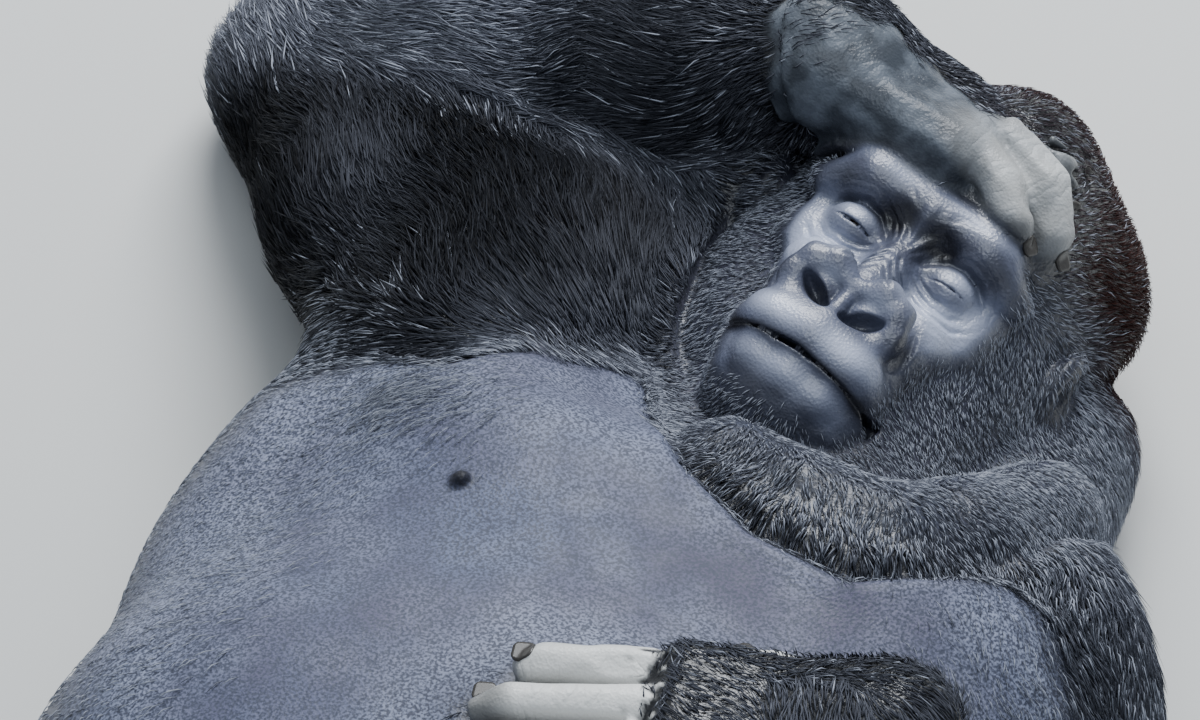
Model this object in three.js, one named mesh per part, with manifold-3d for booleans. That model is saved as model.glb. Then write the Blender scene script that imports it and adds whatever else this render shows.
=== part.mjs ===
import * as THREE from 'three';
import Module from 'manifold-3d';

// Western gorilla, adult male, lying on its back with one arm folded over its head and the
// other hand on its belly. Millimetres, +Z up, +X the gorilla's left, +Y toward the crown.

const wasm = await Module();
wasm.setup();

// ---------------------------------------------------------------- driving sizes
const SEAM = 0.6;                 // clearance where two parts of the body meet
const SHARP = 1e-5;               // how well a corner must be pinned to be placed exactly
const FLOOR = 0;                  // level of every resting flat

const HEAD = {
  eyeMid: [-1, 310.5, 216.7],     // midpoint between the eyes
  left: [0.9785, -0.1593, -0.1249],
  crown: [0.1869, 0.9483, 0.2545],
  eyeGap: 70,                     // centre to centre
  eyeball: 24,                    // diameter
  eyeDepth: 13,                   // eyeball centre behind the lids' plane
  slitWidth: 27,
  slitHeight: 4.4,
};

const TRUNK = {
  rightShoulder: [-196, 140, 152],  // drawn up with the raised arm
  leftShoulder: [181, 89, 154],
  chestHalf: 300,
  chestTop: 298,
  bellyHalf: 318,
  bellyTop: 352,
  hipHalf: 118,
  hipY: -500,
  hipZ: 128,
};

const ARM = {
  rightElbow: [-452, 360, 67],
  rightWrist: [-114, 421, 225],
  leftElbow: [372, -165, 70],
  leftWrist: [187, -94, 368],
  elbowRadius: 68,
  wristRadius: 47,
};

const LEG = {
  kneeOut: 240,                   // knee from hip, sideways
  kneeDown: 262,                  // knee from hip, toward the feet
  kneeZ: 222,
  ankleIn: 122,                   // ankle from knee, back toward the midline
  ankleDown: 262,
  ankleZ: 68,
  footLength: 288,
  footWidth: 98,
};

const HAND = { palm: 132, width: 104, thick: 46 };

// ---------------------------------------------------------------- small vector helpers
const vec = (x, y, z) => new THREE.Vector3(x, y, z);
const from = (list) => vec(...list);
const along = (p, ...steps) => {
  const out = p.clone();
  for (const [dir, len] of steps) {
    out.addScaledVector(dir, len);
  }
  return out;
};
const mix = (a, b, t) => a.clone().lerp(b, t);
const unit = (a, b) => b.clone().sub(a).normalize();
const WORLD = [vec(1, 0, 0), vec(0, 1, 0), vec(0, 0, 1)];

// right-handed frame whose first axis is dir and whose third leans toward up
function frameOf(dir, up) {
  const u = dir.clone().normalize();
  const v = up.clone().cross(u).normalize();
  return [u, v, u.clone().cross(v)];
}

// ---------------------------------------------------------------- distance shapes
// each shape: dist(x, y, z) < 0 inside, reach = its bounding sphere, blend = fillet with the rest
function ball(centre, radii, frame = WORLD, blend = 20) {
  const [u, v, w] = frame;
  const [ra, rb, rc] = radii;
  const dist = (x, y, z) => {
    const dx = x - centre.x;
    const dy = y - centre.y;
    const dz = z - centre.z;
    const a = (dx * u.x + dy * u.y + dz * u.z) / ra;
    const b = (dx * v.x + dy * v.y + dz * v.z) / rb;
    const c = (dx * w.x + dy * w.y + dz * w.z) / rc;
    const k0 = Math.sqrt(a * a + b * b + c * c);
    const k1 = Math.sqrt((a / ra) ** 2 + (b / rb) ** 2 + (c / rc) ** 2);
    return k1 > 1e-9 ? (k0 * (k0 - 1)) / k1 : -Math.min(ra, rb, rc);
  };
  return { dist, reach: [centre, Math.max(ra, rb, rc)], blend };
}

function rod(a, b, ra, rb, blend = 20) {
  const ax = b.clone().sub(a);
  const inv = 1 / ax.lengthSq();
  const dist = (x, y, z) => {
    const dx = x - a.x;
    const dy = y - a.y;
    const dz = z - a.z;
    const t = Math.min(1, Math.max(0, (dx * ax.x + dy * ax.y + dz * ax.z) * inv));
    const ex = dx - ax.x * t;
    const ey = dy - ax.y * t;
    const ez = dz - ax.z * t;
    return Math.sqrt(ex * ex + ey * ey + ez * ez) - (ra + (rb - ra) * t);
  };
  return { dist, reach: [mix(a, b, 0.5), ax.length() / 2 + Math.max(ra, rb)], blend };
}

// a slab with rounded edges: half sizes include the rounding
function pad(centre, half, round, frame, blend = 12) {
  const [u, v, w] = frame;
  const dist = (x, y, z) => {
    const dx = x - centre.x;
    const dy = y - centre.y;
    const dz = z - centre.z;
    const a = Math.abs(dx * u.x + dy * u.y + dz * u.z) - half[0] + round;
    const b = Math.abs(dx * v.x + dy * v.y + dz * v.z) - half[1] + round;
    const c = Math.abs(dx * w.x + dy * w.y + dz * w.z) - half[2] + round;
    const out = Math.hypot(Math.max(a, 0), Math.max(b, 0), Math.max(c, 0));
    return out + Math.min(Math.max(a, b, c), 0) - round;
  };
  return { dist, reach: [centre, Math.hypot(...half)], blend };
}

const carve = (shape) => ({ ...shape, hollow: true });

function chain(points, radii, blend = 8) {
  return points.slice(1).map((p, i) => rod(points[i], p, radii[i], radii[i + 1], blend));
}

// smooth union of the solid shapes, then smooth removal of the hollow ones
function fieldOf(shapes) {
  const solid = shapes.filter((s) => !s.hollow);
  const hollow = shapes.filter((s) => s.hollow);
  return (x, y, z) => {
    let d = 1e6;
    for (const s of solid) {
      const e = s.dist(x, y, z);
      const h = Math.max(0, 1 - Math.abs(d - e) / s.blend);
      d = Math.min(d, e) - h * h * s.blend * 0.25;
    }
    for (const s of hollow) {
      const e = -s.dist(x, y, z);
      const h = Math.max(0, 1 - Math.abs(d - e) / s.blend);
      d = Math.max(d, e) + h * h * s.blend * 0.25;
    }
    return d;
  };
}

// ---------------------------------------------------------------- surface of a field
// marching tetrahedra: every cube is six tetrahedra along its main diagonal
const TETS = [[1, 3], [1, 5], [2, 3], [2, 6], [4, 5], [4, 6]].map(([p, q]) => [0, p, q, 7]);

function surface(shapes, own, cell) {
  const field = fieldOf(shapes);
  const box = new THREE.Box3();
  for (const { reach: [c, r] } of own) {
    box.union(new THREE.Box3(c.clone().subScalar(r + 6), c.clone().addScalar(r + 6)));
  }
  box.min.z = Math.max(box.min.z, FLOOR - 2.5 * cell);
  const size = box.getSize(vec(0, 0, 0));
  const nx = Math.ceil(size.x / cell) + 1;
  const ny = Math.ceil(size.y / cell) + 1;
  const nz = Math.ceil(size.z / cell) + 1;
  const value = new Float32Array(nx * ny * nz);
  const index = (i, j, k) => (k * ny + j) * nx + i;
  for (let k = 0; k < nz; k++) {
    for (let j = 0; j < ny; j++) {
      for (let i = 0; i < nx; i++) {
        const edge = i === 0 || j === 0 || k === 0 || i === nx - 1 || j === ny - 1 || k === nz - 1;
        let d = field(box.min.x + i * cell, box.min.y + j * cell, box.min.z + k * cell);
        if (edge) {
          d = Math.max(d, cell / 2);
        }
        value[index(i, j, k)] = Math.abs(d) < 1e-4 ? 1e-4 : d;
      }
    }
  }
  const step = (bits) => index(bits & 1, (bits >> 1) & 1, (bits >> 2) & 1);
  const steps = [0, 1, 2, 3, 4, 5, 6, 7].map(step);
  const points = [];
  const faces = [];
  const made = new Map();

  // point on the grid edge between two corners of one cube
  function cross(i, j, k, p, q) {
    const [lo, hi] = p < q ? [p, q] : [q, p];
    const base = index(i, j, k);
    const key = (base + steps[lo]) * 8 + (hi - lo);
    if (!made.has(key)) {
      const va = value[base + steps[lo]];
      const vb = value[base + steps[hi]];
      const t = Math.min(0.96, Math.max(0.04, va / (va - vb)));
      const w = [0, 1, 2].map((n) => ((lo >> n) & 1) + t * (((hi >> n) & 1) - ((lo >> n) & 1)));
      made.set(key, points.length);
      points.push(vec(i + w[0], j + w[1], k + w[2]).multiplyScalar(cell).add(box.min));
    }
    return made.get(key);
  }
  const corner = (b) => vec(b & 1, (b >> 1) & 1, (b >> 2) & 1);
  const middle = (p, q) => corner(p).add(corner(q));

  function emit(i, j, k, edges, inside, outside) {
    const [a, b, c] = edges.map(([p, q]) => middle(p, q));
    const normal = b.sub(a).cross(c.sub(a));
    const way = corner(outside).sub(corner(inside));
    const ids = edges.map(([p, q]) => cross(i, j, k, p, q));
    faces.push(normal.dot(way) > 0 ? ids : [ids[0], ids[2], ids[1]]);
  }
  for (let k = 0; k < nz - 1; k++) {
    for (let j = 0; j < ny - 1; j++) {
      for (let i = 0; i < nx - 1; i++) {
        const base = index(i, j, k);
        const sign = steps.map((s) => value[base + s] < 0);
        if (sign.every((s) => s === sign[0])) {
          continue;
        }
        for (const tet of TETS) {
          const ins = tet.filter((c) => sign[c]);
          const out = tet.filter((c) => !sign[c]);
          if (ins.length === 1 || ins.length === 3) {
            const [lone, rest] = ins.length === 1 ? [ins[0], out] : [out[0], ins];
            emit(i, j, k, rest.map((c) => [lone, c]), ins[0], out[0]);
          } else if (ins.length === 2) {
            const [a, b] = ins;
            const [c, d] = out;
            emit(i, j, k, [[a, c], [a, d], [b, c]], a, d);
            emit(i, j, k, [[a, d], [b, c], [b, d]], a, d);
          }
        }
      }
    }
  }
  return { points, faces };
}

// ---------------------------------------------------------------- fewer triangles
// quadric edge collapse; keep(p) > 1 holds more detail around p
function simplify({ points, faces }, target, keep) {
  const quad = points.map(() => new Float64Array(10));
  const fans = points.map(() => new Set());
  const alive = faces.map(() => true);
  const stamp = new Uint32Array(points.length);
  let left = faces.length;

  function normalOf(a, b, c) {
    return b.clone().sub(a).cross(c.clone().sub(a));
  }
  faces.forEach((f, n) => {
    const [a, b, c] = f.map((v) => points[v]);
    const cr = normalOf(a, b, c);
    const area = cr.length() * 0.5 * keep(a);
    cr.normalize();
    const w = -cr.dot(a);
    const p = [cr.x, cr.y, cr.z, w];
    for (const v of f) {
      fans[v].add(n);
      let m = 0;
      for (let i = 0; i < 4; i++) {
        for (let j = i; j < 4; j++) {
          quad[v][m++] += p[i] * p[j] * area;
        }
      }
    }
  });
  function cost(q, p) {
    const { x, y, z } = p;
    return q[0] * x * x + 2 * q[1] * x * y + 2 * q[2] * x * z + 2 * q[3] * x
      + q[4] * y * y + 2 * q[5] * y * z + 2 * q[6] * y + q[7] * z * z + 2 * q[8] * z + q[9];
  }
  function best(u, v) {
    const q = quad[u].map((n, i) => n + quad[v][i]);
    const m = new THREE.Matrix3().set(q[0], q[1], q[2], q[1], q[4], q[5], q[2], q[5], q[7]);
    const tries = [points[u], points[v], mix(points[u], points[v], 0.5)];
    if (m.determinant() > SHARP * (q[0] + q[4] + q[7]) ** 3) {
      const s = vec(-q[3], -q[6], -q[8]).applyMatrix3(m.invert());
      if (s.distanceTo(tries[2]) < 1.5 * points[u].distanceTo(points[v])) {
        tries.push(s);
      }
    }
    const costs = tries.map((p) => cost(q, p));
    const n = costs.indexOf(Math.min(...costs));
    const long = points[u].distanceToSquared(points[v]);
    return { p: tries[n], c: Math.max(0, costs[n]) + 2e-5 * long * long };
  }

  // binary heap of candidate collapses
  const heap = [];
  function push(item) {
    let n = heap.push(item) - 1;
    while (n > 0) {
      const up = (n - 1) >> 1;
      if (heap[up].c <= heap[n].c) {
        break;
      }
      [heap[up], heap[n]] = [heap[n], heap[up]];
      n = up;
    }
  }
  function pop() {
    const top = heap[0];
    const last = heap.pop();
    if (heap.length) {
      heap[0] = last;
      let n = 0;
      for (;;) {
        let m = 2 * n + 1;
        if (m >= heap.length) {
          break;
        }
        if (m + 1 < heap.length && heap[m + 1].c < heap[m].c) {
          m += 1;
        }
        if (heap[n].c <= heap[m].c) {
          break;
        }
        [heap[n], heap[m]] = [heap[m], heap[n]];
        n = m;
      }
    }
    return top;
  }
  const ring = (v) => {
    const out = new Set();
    for (const n of fans[v]) {
      faces[n].forEach((w) => w !== v && out.add(w));
    }
    return out;
  };
  const offer = (u, v) => push({ u, v, su: stamp[u], sv: stamp[v], ...best(u, v) });
  faces.forEach((f) => {
    for (let e = 0; e < 3; e++) {
      if (f[e] < f[(e + 1) % 3]) {
        offer(f[e], f[(e + 1) % 3]);
      }
    }
  });

  // would moving v to p fold a face over or leave it a needle
  function folds(v, other, p) {
    for (const n of fans[v]) {
      const f = faces[n];
      if (f.includes(other)) {
        continue;
      }
      const old = normalOf(...f.map((w) => points[w]));
      const moved = f.map((w) => (w === v ? p : points[w]));
      const now = normalOf(...moved);
      const long = Math.max(...[0, 1, 2].map((e) => moved[e].distanceToSquared(moved[(e + 1) % 3])));
      if (now.dot(old) < 0.2 * now.length() * old.length() || now.length() < 0.03 * long) {
        return true;
      }
    }
    return false;
  }
  while (left > target && heap.length) {
    const { u, v, su, sv, p } = pop();
    if (stamp[u] !== su || stamp[v] !== sv) {
      continue;
    }
    const ringV = ring(v);
    const shared = [...ring(u)].filter((w) => ringV.has(w));
    if (shared.length !== 2 || folds(u, v, p) || folds(v, u, p)) {
      continue;
    }
    for (const n of fans[v]) {
      if (faces[n].includes(u)) {
        alive[n] = false;
        left -= 1;
        faces[n].forEach((w) => w !== v && fans[w].delete(n));
      } else {
        faces[n] = faces[n].map((w) => (w === v ? u : w));
        fans[u].add(n);
      }
    }
    fans[v].clear();
    points[u] = p.clone();
    quad[v].forEach((q, i) => {
      quad[u][i] += q;
    });
    stamp[v] += 1;
    stamp[u] += 1;
    for (const w of ring(u)) {
      offer(u, w);
    }
  }
  return { points, faces: faces.filter((f, n) => alive[n]) };
}

// ---------------------------------------------------------------- solids, joins and cuts
function pack({ points, faces }) {
  const order = new Map();
  const coords = [];
  const tris = [];
  for (const f of faces) {
    for (const v of f) {
      if (!order.has(v)) {
        order.set(v, order.size);
        coords.push(points[v].x, points[v].y, points[v].z);
      }
      tris.push(order.get(v));
    }
  }
  return { coords, tris };
}

function solidOf({ coords, tris }) {
  const mesh = new wasm.Mesh({
    numProp: 3,
    vertProperties: new Float32Array(coords),
    triVerts: new Uint32Array(tris),
  });
  return new wasm.Manifold(mesh);
}

// the largest shell of a solid, as plain arrays; faces belong together across shared edges
function shellOf(solid) {
  const mesh = solid.getMesh();
  const count = mesh.vertProperties.length / mesh.numProp;
  const merged = Array.from({ length: count }, (_, n) => n);
  mesh.mergeFromVert.forEach((v, n) => {
    merged[v] = mesh.mergeToVert[n];
  });
  const faces = [];
  for (let n = 0; n < mesh.triVerts.length; n += 3) {
    faces.push([0, 1, 2].map((e) => merged[mesh.triVerts[n + e]]));
  }
  const root = faces.map((_, n) => n);
  const find = (n) => {
    let m = n;
    while (root[m] !== m) {
      root[m] = root[root[m]];
      m = root[m];
    }
    return m;
  };
  const edges = new Map();
  faces.forEach((f, n) => {
    for (let e = 0; e < 3; e++) {
      const key = [f[e], f[(e + 1) % 3]].sort((p, q) => p - q).join();
      edges.set(key, [...(edges.get(key) ?? []), n]);
    }
  });
  // an edge with more than two faces only pins a stray flake to the body
  for (const users of edges.values()) {
    if (users.length === 2) {
      root[find(users[0])] = find(users[1]);
    }
  }
  const tally = new Map();
  faces.forEach((_, n) => tally.set(find(n), (tally.get(find(n)) ?? 0) + 1));
  const [main] = [...tally.entries()].sort((a, b) => b[1] - a[1])[0];
  const points = [];
  for (let n = 0; n < count; n++) {
    points.push(from(Array.from(mesh.vertProperties.slice(n * mesh.numProp, n * mesh.numProp + 3))));
  }
  return { points, faces: faces.filter((_, n) => find(n) === main) };
}

// the shell pushed outward a little, to cut its neighbours with
function swollen({ points, faces }, by) {
  const normals = points.map(() => vec(0, 0, 0));
  for (const f of faces) {
    const [a, b, c] = f.map((v) => points[v]);
    const n = b.clone().sub(a).cross(c.clone().sub(a)).normalize();
    f.forEach((v) => normals[v].add(n));
  }
  const moved = points.map((p, i) => along(p, [normals[i].normalize(), by]));
  return solidOf(pack({ points: moved, faces }));
}

// everything beyond a plane, as one large block
function beyond(point, dir, size = 2400) {
  const [w, u, v] = frameOf(dir, Math.abs(dir.z) > 0.9 ? WORLD[1] : WORLD[2]);
  const block = new THREE.BoxGeometry(size, size, size);
  block.applyMatrix4(new THREE.Matrix4().makeBasis(u, v, w));
  block.translate(...along(point, [w, size / 2]).toArray());
  return fromGeometry(block);
}

function fromGeometry(geometry) {
  const pos = geometry.attributes.position;
  const seen = new Map();
  const coords = [];
  const tris = [];
  for (const n of geometry.index.array) {
    const xyz = [pos.getX(n), pos.getY(n), pos.getZ(n)];
    const key = xyz.map((c) => Math.round(c * 1e3)).join();
    if (!seen.has(key)) {
      seen.set(key, seen.size);
      coords.push(...xyz);
    }
    tris.push(seen.get(key));
  }
  const kept = [];
  for (let n = 0; n < tris.length; n += 3) {
    const t = tris.slice(n, n + 3);
    if (new Set(t).size === 3) {
      kept.push(...t);
    }
  }
  return solidOf({ coords, tris: kept });
}

function globe(centre, radii, frame = WORLD, rings = 10) {
  const g = new THREE.SphereGeometry(1, rings * 2, rings);
  g.scale(...radii);
  g.applyMatrix4(new THREE.Matrix4().makeBasis(...frame));
  g.translate(...centre.toArray());
  return fromGeometry(g);
}

// ---------------------------------------------------------------- skeleton
const eyeMid = from(HEAD.eyeMid);
const headLeft = from(HEAD.left).normalize();
const headFront = headLeft.clone().cross(from(HEAD.crown)).normalize();
const headUp = headFront.clone().cross(headLeft);
const HEAD_FRAME = [headLeft, headUp, headFront];
// a point of the head: across to its left, up to the crown, out through the face
const onHead = (a, h, f) => along(eyeMid, [headLeft, a], [headUp, h], [headFront, f]);

const joints = {};
for (const [side, s] of [['right', -1], ['left', 1]]) {
  const hip = vec(s * TRUNK.hipHalf, TRUNK.hipY, TRUNK.hipZ);
  const knee = vec(hip.x + s * LEG.kneeOut, hip.y - LEG.kneeDown, LEG.kneeZ);
  const ankle = vec(knee.x - s * LEG.ankleIn, knee.y - LEG.ankleDown, LEG.ankleZ);
  joints[side] = {
    s,
    shoulder: from(TRUNK[`${side}Shoulder`]),
    elbow: from(ARM[`${side}Elbow`]),
    wrist: from(ARM[`${side}Wrist`]),
    hip,
    knee,
    ankle,
  };
}

// ---------------------------------------------------------------- flesh
const H = HEAD_FRAME;
const half = HEAD.eyeGap / 2;
const pair = (make) => [-1, 1].flatMap((s) => make(s));

const headFlesh = [
  ball(onHead(0, 45, -110), [110, 98, 102], H),
  ball(onHead(0, 66, -136), [126, 92, 76], H, 24),
  ball(onHead(0, 24, -150), [100, 86, 82], H, 24),
  ball(onHead(0, 114, -112), [48, 54, 72], H, 34),
  ...pair((s) => [
    ball(onHead(s * 54, -40, -86), [64, 90, 66], H, 22),
    ball(onHead(s * 56, -88, -76), [50, 70, 62], H, 22),
  ]),
  ball(onHead(0, -30, -52), [78, 90, 52], H, 16),
  ball(onHead(0, -118, -44), [62, 48, 62], H, 18),
  ball(onHead(0, 62, -60), [76, 40, 46], H, 16),
  // brow ridge
  ...chain([
    onHead(-72, 20, -20), onHead(-42, 35, -9), onHead(0, 33, -8), onHead(42, 35, -9), onHead(72, 20, -20),
  ], [14, 18, 17, 18, 14], 9),
  // muzzle, upper lip, lower lip and chin
  ball(onHead(0, -84, -2), [55, 42, 50], H, 14),
  ...chain([onHead(-44, -94, 17), onHead(-24, -86, 36), onHead(24, -86, 36), onHead(44, -94, 17)],
    [15, 17.5, 17.5, 15], 14),
  ball(onHead(0, -126, 4), [54, 34, 42], H, 10),
  ...chain([onHead(-43, -113, 14), onHead(-22, -112, 34), onHead(22, -112, 34), onHead(43, -113, 14)],
    [12, 14.5, 14.5, 12], 5),
  ball(onHead(0, -138, 12), [40, 24, 31], H, 12),
  // cheekbones and the folds beside the nose
  ...pair((s) => [
    ball(onHead(s * 54, -16, -28), [26, 24, 20], H, 12),
    ball(onHead(s * 38, -50, -2), [22, 32, 20], H, 12),
  ]),
  // nose: bridge, heart-shaped pad and wings
  rod(onHead(0, 8, -8), onHead(0, -36, 18), 11, 14, 10),
  ball(onHead(0, -49, 31), [19, 19, 17], H, 6),
  ...pair((s) => [
    ball(onHead(s * 21, -56, 33), [17, 19, 17], H, 5),
  ]),
  // closed lids over the eyeballs
  ...pair((s) => [
    ball(onHead(s * half, 0, -HEAD.eyeDepth), [19, 15, 17], H, 4),
  ]),
  // nostrils
  ...pair((s) => [
    carve(ball(onHead(s * 14, -62, 50), [7.5, 10, 15], H, 4)),
  ]),
];

const earFlesh = (s) => [
  ball(onHead(s * 113, 9, -78), [9, 25, 17], H, 8),
  ball(onHead(s * 104, 4, -80), [14, 19, 15], H, 8),
  carve(ball(onHead(s * 121, 11, -71), [8, 16, 10], H, 5)),
];

// the roll of the throat, folded against the collar
const jowl = chain([
  vec(-14, 112, 222), vec(40, 92, 236), vec(88, 96, 234), vec(126, 142, 208), vec(146, 206, 170),
], [44, 50, 50, 48, 42], 12);

const throat = [
  rod(onHead(0, -66, -122), vec(0, 140, 108), 98, 102, 24),
  ball(vec(14, 146, 138), [116, 84, 70], WORLD, 30),
  ball(vec(6, 258, 66), [160, 128, 74], WORLD, 30),
  ball(vec(96, 312, 56), [64, 78, 54], WORLD, 14),
  rod(vec(94, 306, 58), vec(122, 202, 96), 60, 66, 14),
];
const neckFlesh = [...throat, ...jowl];

const chestFlesh = [
  ball(vec(0, 0, 148), [270, 220, 148], WORLD),
  ball(vec(0, 20, 92), [TRUNK.chestHalf - 12, 220, 100], WORLD, 40),
  ...pair((s) => [
    ball(vec(s * 108, 45, 214), [118, 104, 78], WORLD, 30),
    ball(vec(s < 0 ? -250 : 232, s < 0 ? 2 : -18, 122), [88, s < 0 ? 200 : 178, 98], WORLD, 40),
  ]),
  ball(vec(-160, 130, 150), [110, 80, 86], WORLD, 40),
  ball(vec(150, 92, 150), [110, 80, 86], WORLD, 40),
  ball(vec(136, 74, 186), [84, 72, 66], WORLD, 24),
  ball(vec(0, 130, 110), [190, 90, 104], WORLD, 40),
];

const bellyFlesh = [
  ball(vec(0, -215, 182), [TRUNK.bellyHalf - 12, 262, TRUNK.bellyTop - 182], WORLD, 50),
  ball(vec(0, -235, 100), [TRUNK.bellyHalf - 22, 250, 108], WORLD, 50),
];

const pelvisFlesh = [
  ball(vec(0, -440, 150), [232, 150, 152], WORLD, 50),
  ...pair((s) => [
    ball(vec(s * 105, -500, 88), [112, 112, 98], WORLD, 50),
    ball(vec(s * 150, -470, 132), [92, 104, 104], WORLD, 50),
  ]),
];

function armFlesh({ s, shoulder, elbow, wrist }, folded) {
  const upper = unit(shoulder, elbow);
  const lower = unit(elbow, wrist);
  const mid = mix(shoulder, elbow, 0.5);
  const out = vec(0.75, -0.1, -0.3);
  const thick = folded ? 80 : 88;
  const bunched = [
    ball(along(shoulder, [WORLD[0], -14], [WORLD[1], 86], [WORLD[2], -6]), [96, 92, 94], WORLD, 40),
    ball(along(shoulder, [WORLD[0], 6], [WORLD[1], 150], [WORLD[2], -56]), [88, 92, 78], WORLD, 30),
    ball(along(mid, [vec(0.62, 0.76, 0.1), 26]), [118, 84, 84], frameOf(upper, WORLD[2]), 30),
    ball(along(shoulder, [WORLD[0], 34], [WORLD[1], 246], [WORLD[2], -50]), [64, 70, 62], WORLD, 30),
  ];
  const slack = [
    ball(along(mid, [out, 22]), [120, 84, 84], frameOf(upper, WORLD[2]), 30),
    ball(along(shoulder, [WORLD[0], -18], [WORLD[1], 50], [WORLD[2], 2]), [80, 84, 82], WORLD, 30),
  ];
  return {
    upper: [
      ball(along(shoulder, [vec(s, 0, 0), 8]), [94, 92, 96], WORLD),
      rod(shoulder, mid, 88, thick, 30),
      rod(mid, elbow, thick, ARM.elbowRadius + 3, 30),
      ball(along(elbow, [upper, 14], [lower, -8]), [50, 46, 46], frameOf(upper, WORLD[2]), 24),
      ...(folded ? bunched : slack),
    ],
    lower: [
      rod(elbow, mix(elbow, wrist, 0.34), ARM.elbowRadius - 10, 83, 30),
      rod(mix(elbow, wrist, 0.34), mix(elbow, wrist, 0.78), 83, 64, 30),
      rod(mix(elbow, wrist, 0.78), wrist, 64, ARM.wristRadius, 30),
    ],
  };
}

function handFlesh(wrist, frame, width = HAND.width) {
  const [f, v, n] = frame;
  return [
    rod(wrist, along(wrist, [f, 34]), ARM.wristRadius - 2, 34, 20),
    pad(along(wrist, [f, HAND.palm * 0.52]), [HAND.palm * 0.5, width / 2, HAND.thick / 2], 20, frame, 24),
    ball(along(wrist, [f, 58], [v, 18], [n, -6]), [52, 40, 24], frame, 20),
  ];
}

function legFlesh({ s, hip, knee, ankle }) {
  const thigh = unit(hip, knee);
  const shank = unit(knee, ankle);
  const calf = mix(knee, ankle, 0.34);
  return {
    thigh: [
      rod(hip, mix(hip, knee, 0.55), 122, 100, 40),
      rod(mix(hip, knee, 0.55), knee, 98, 72, 40),
    ],
    shank: [
      rod(knee, calf, 72, 70, 30),
      rod(calf, ankle, 70, 46, 30),
      ball(along(calf, [vec(-s * 0.4, 0.35, -0.8), 16]), [88, 58, 58], frameOf(shank, WORLD[2]), 30),
    ],
    thighDir: thigh,
    shankDir: shank,
  };
}

// ---------------------------------------------------------------- making the nodes
const nodes = new Map();

function make(name, { own, near = [], cell, budget, planes = [], away = [], tools = [], keep = () => 1 }) {
  const mesh = simplify(surface([...own, ...near], own, cell), budget, keep);
  let solid = solidOf(pack(mesh));
  for (const [point, dir] of planes) {
    solid = solid.subtract(beyond(along(point, [dir, -SEAM / 2]), dir));
  }
  for (const other of away) {
    const shell = nodes.get(other);
    solid = solid.subtract(swollen(shell, SEAM)).subtract(solidOf(pack(shell)));
  }
  for (const tool of tools) {
    solid = solid.subtract(tool);
  }
  solid = solid.subtract(beyond(vec(0, 0, FLOOR), vec(0, 0, -1), 4200));
  // joined again from its own triangles, so a flake held on by a hair comes off too
  nodes.set(name, shellOf(solidOf(pack(shellOf(solid)))));
}

const flip = (v) => v.clone().negate();

// head, with open sockets behind slit lids, and the eyeballs in them
const eyeTools = pair((s) => {
  const r = HEAD.eyeball / 2 + SEAM;
  return [
    globe(onHead(s * half, 0, -HEAD.eyeDepth), [r, r, r], H, 5),
    globe(onHead(s * half, -3.5, -4), [HEAD.slitWidth / 2, HEAD.slitHeight / 2, 14], H, 4),
  ];
});
const collar = [vec(0, 150, 160), vec(0, -0.9, -0.436)];
const nape = [onHead(0, -90, -100), along(vec(0, 0, 0), [headUp, -0.83], [headFront, -0.55])];
const face = onHead(0, -30, 20);
make('head', {
  own: [...headFlesh, ...jowl],
  near: throat,
  cell: 5,
  budget: 1780,
  planes: [nape, collar],
  tools: eyeTools,
  keep: (p) => (p.distanceTo(face) < 110 ? 5 : 1),
});
for (const [side, s] of [['right', -1], ['left', 1]]) {
  const r = HEAD.eyeball / 2;
  nodes.set(`${side}_eye`, shellOf(globe(onHead(s * half, 0, -HEAD.eyeDepth), [r, r, r], H, 5)));
  make(`${side}_ear`, { own: earFlesh(s), cell: 4, budget: 100, away: ['head'] });
}

const waist = [vec(0, -110, 160), vec(0, -1, 0)];
const groin = [vec(0, -370, 160), vec(0, -1, 0)];
make('neck', {
  own: neckFlesh,
  near: [...headFlesh, ...chestFlesh],
  cell: 13,
  budget: 300,
  planes: [[nape[0], flip(nape[1])], collar],
});
make('chest', {
  own: [...chestFlesh, ...jowl],
  near: [...throat, ...bellyFlesh],
  cell: 16,
  budget: 520,
  planes: [[collar[0], flip(collar[1])], waist],
});
make('belly', {
  own: bellyFlesh,
  near: [...chestFlesh, ...pelvisFlesh],
  cell: 16,
  budget: 420,
  planes: [[waist[0], flip(waist[1])], groin],
});
make('pelvis', {
  own: pelvisFlesh,
  near: bellyFlesh,
  cell: 16,
  budget: 330,
  planes: [[groin[0], flip(groin[1])]],
});

// arms: the wrist is cut square to the forearm
for (const side of ['right', 'left']) {
  const j = joints[side];
  const { upper, lower } = armFlesh(j, side === 'right');
  const reach = unit(j.elbow, j.wrist);
  const trunk = ['chest', 'belly', 'neck', 'head', `${side}_ear`];
  make(`${side}_upper_arm`, {
    own: upper,
    cell: 13,
    budget: 120,
    away: trunk,
  });
  make(`${side}_forearm`, {
    own: lower,
    cell: 12,
    budget: 136,
    planes: [[j.wrist, reach]],
    away: [...trunk, `${side}_upper_arm`],
  });
}

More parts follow.
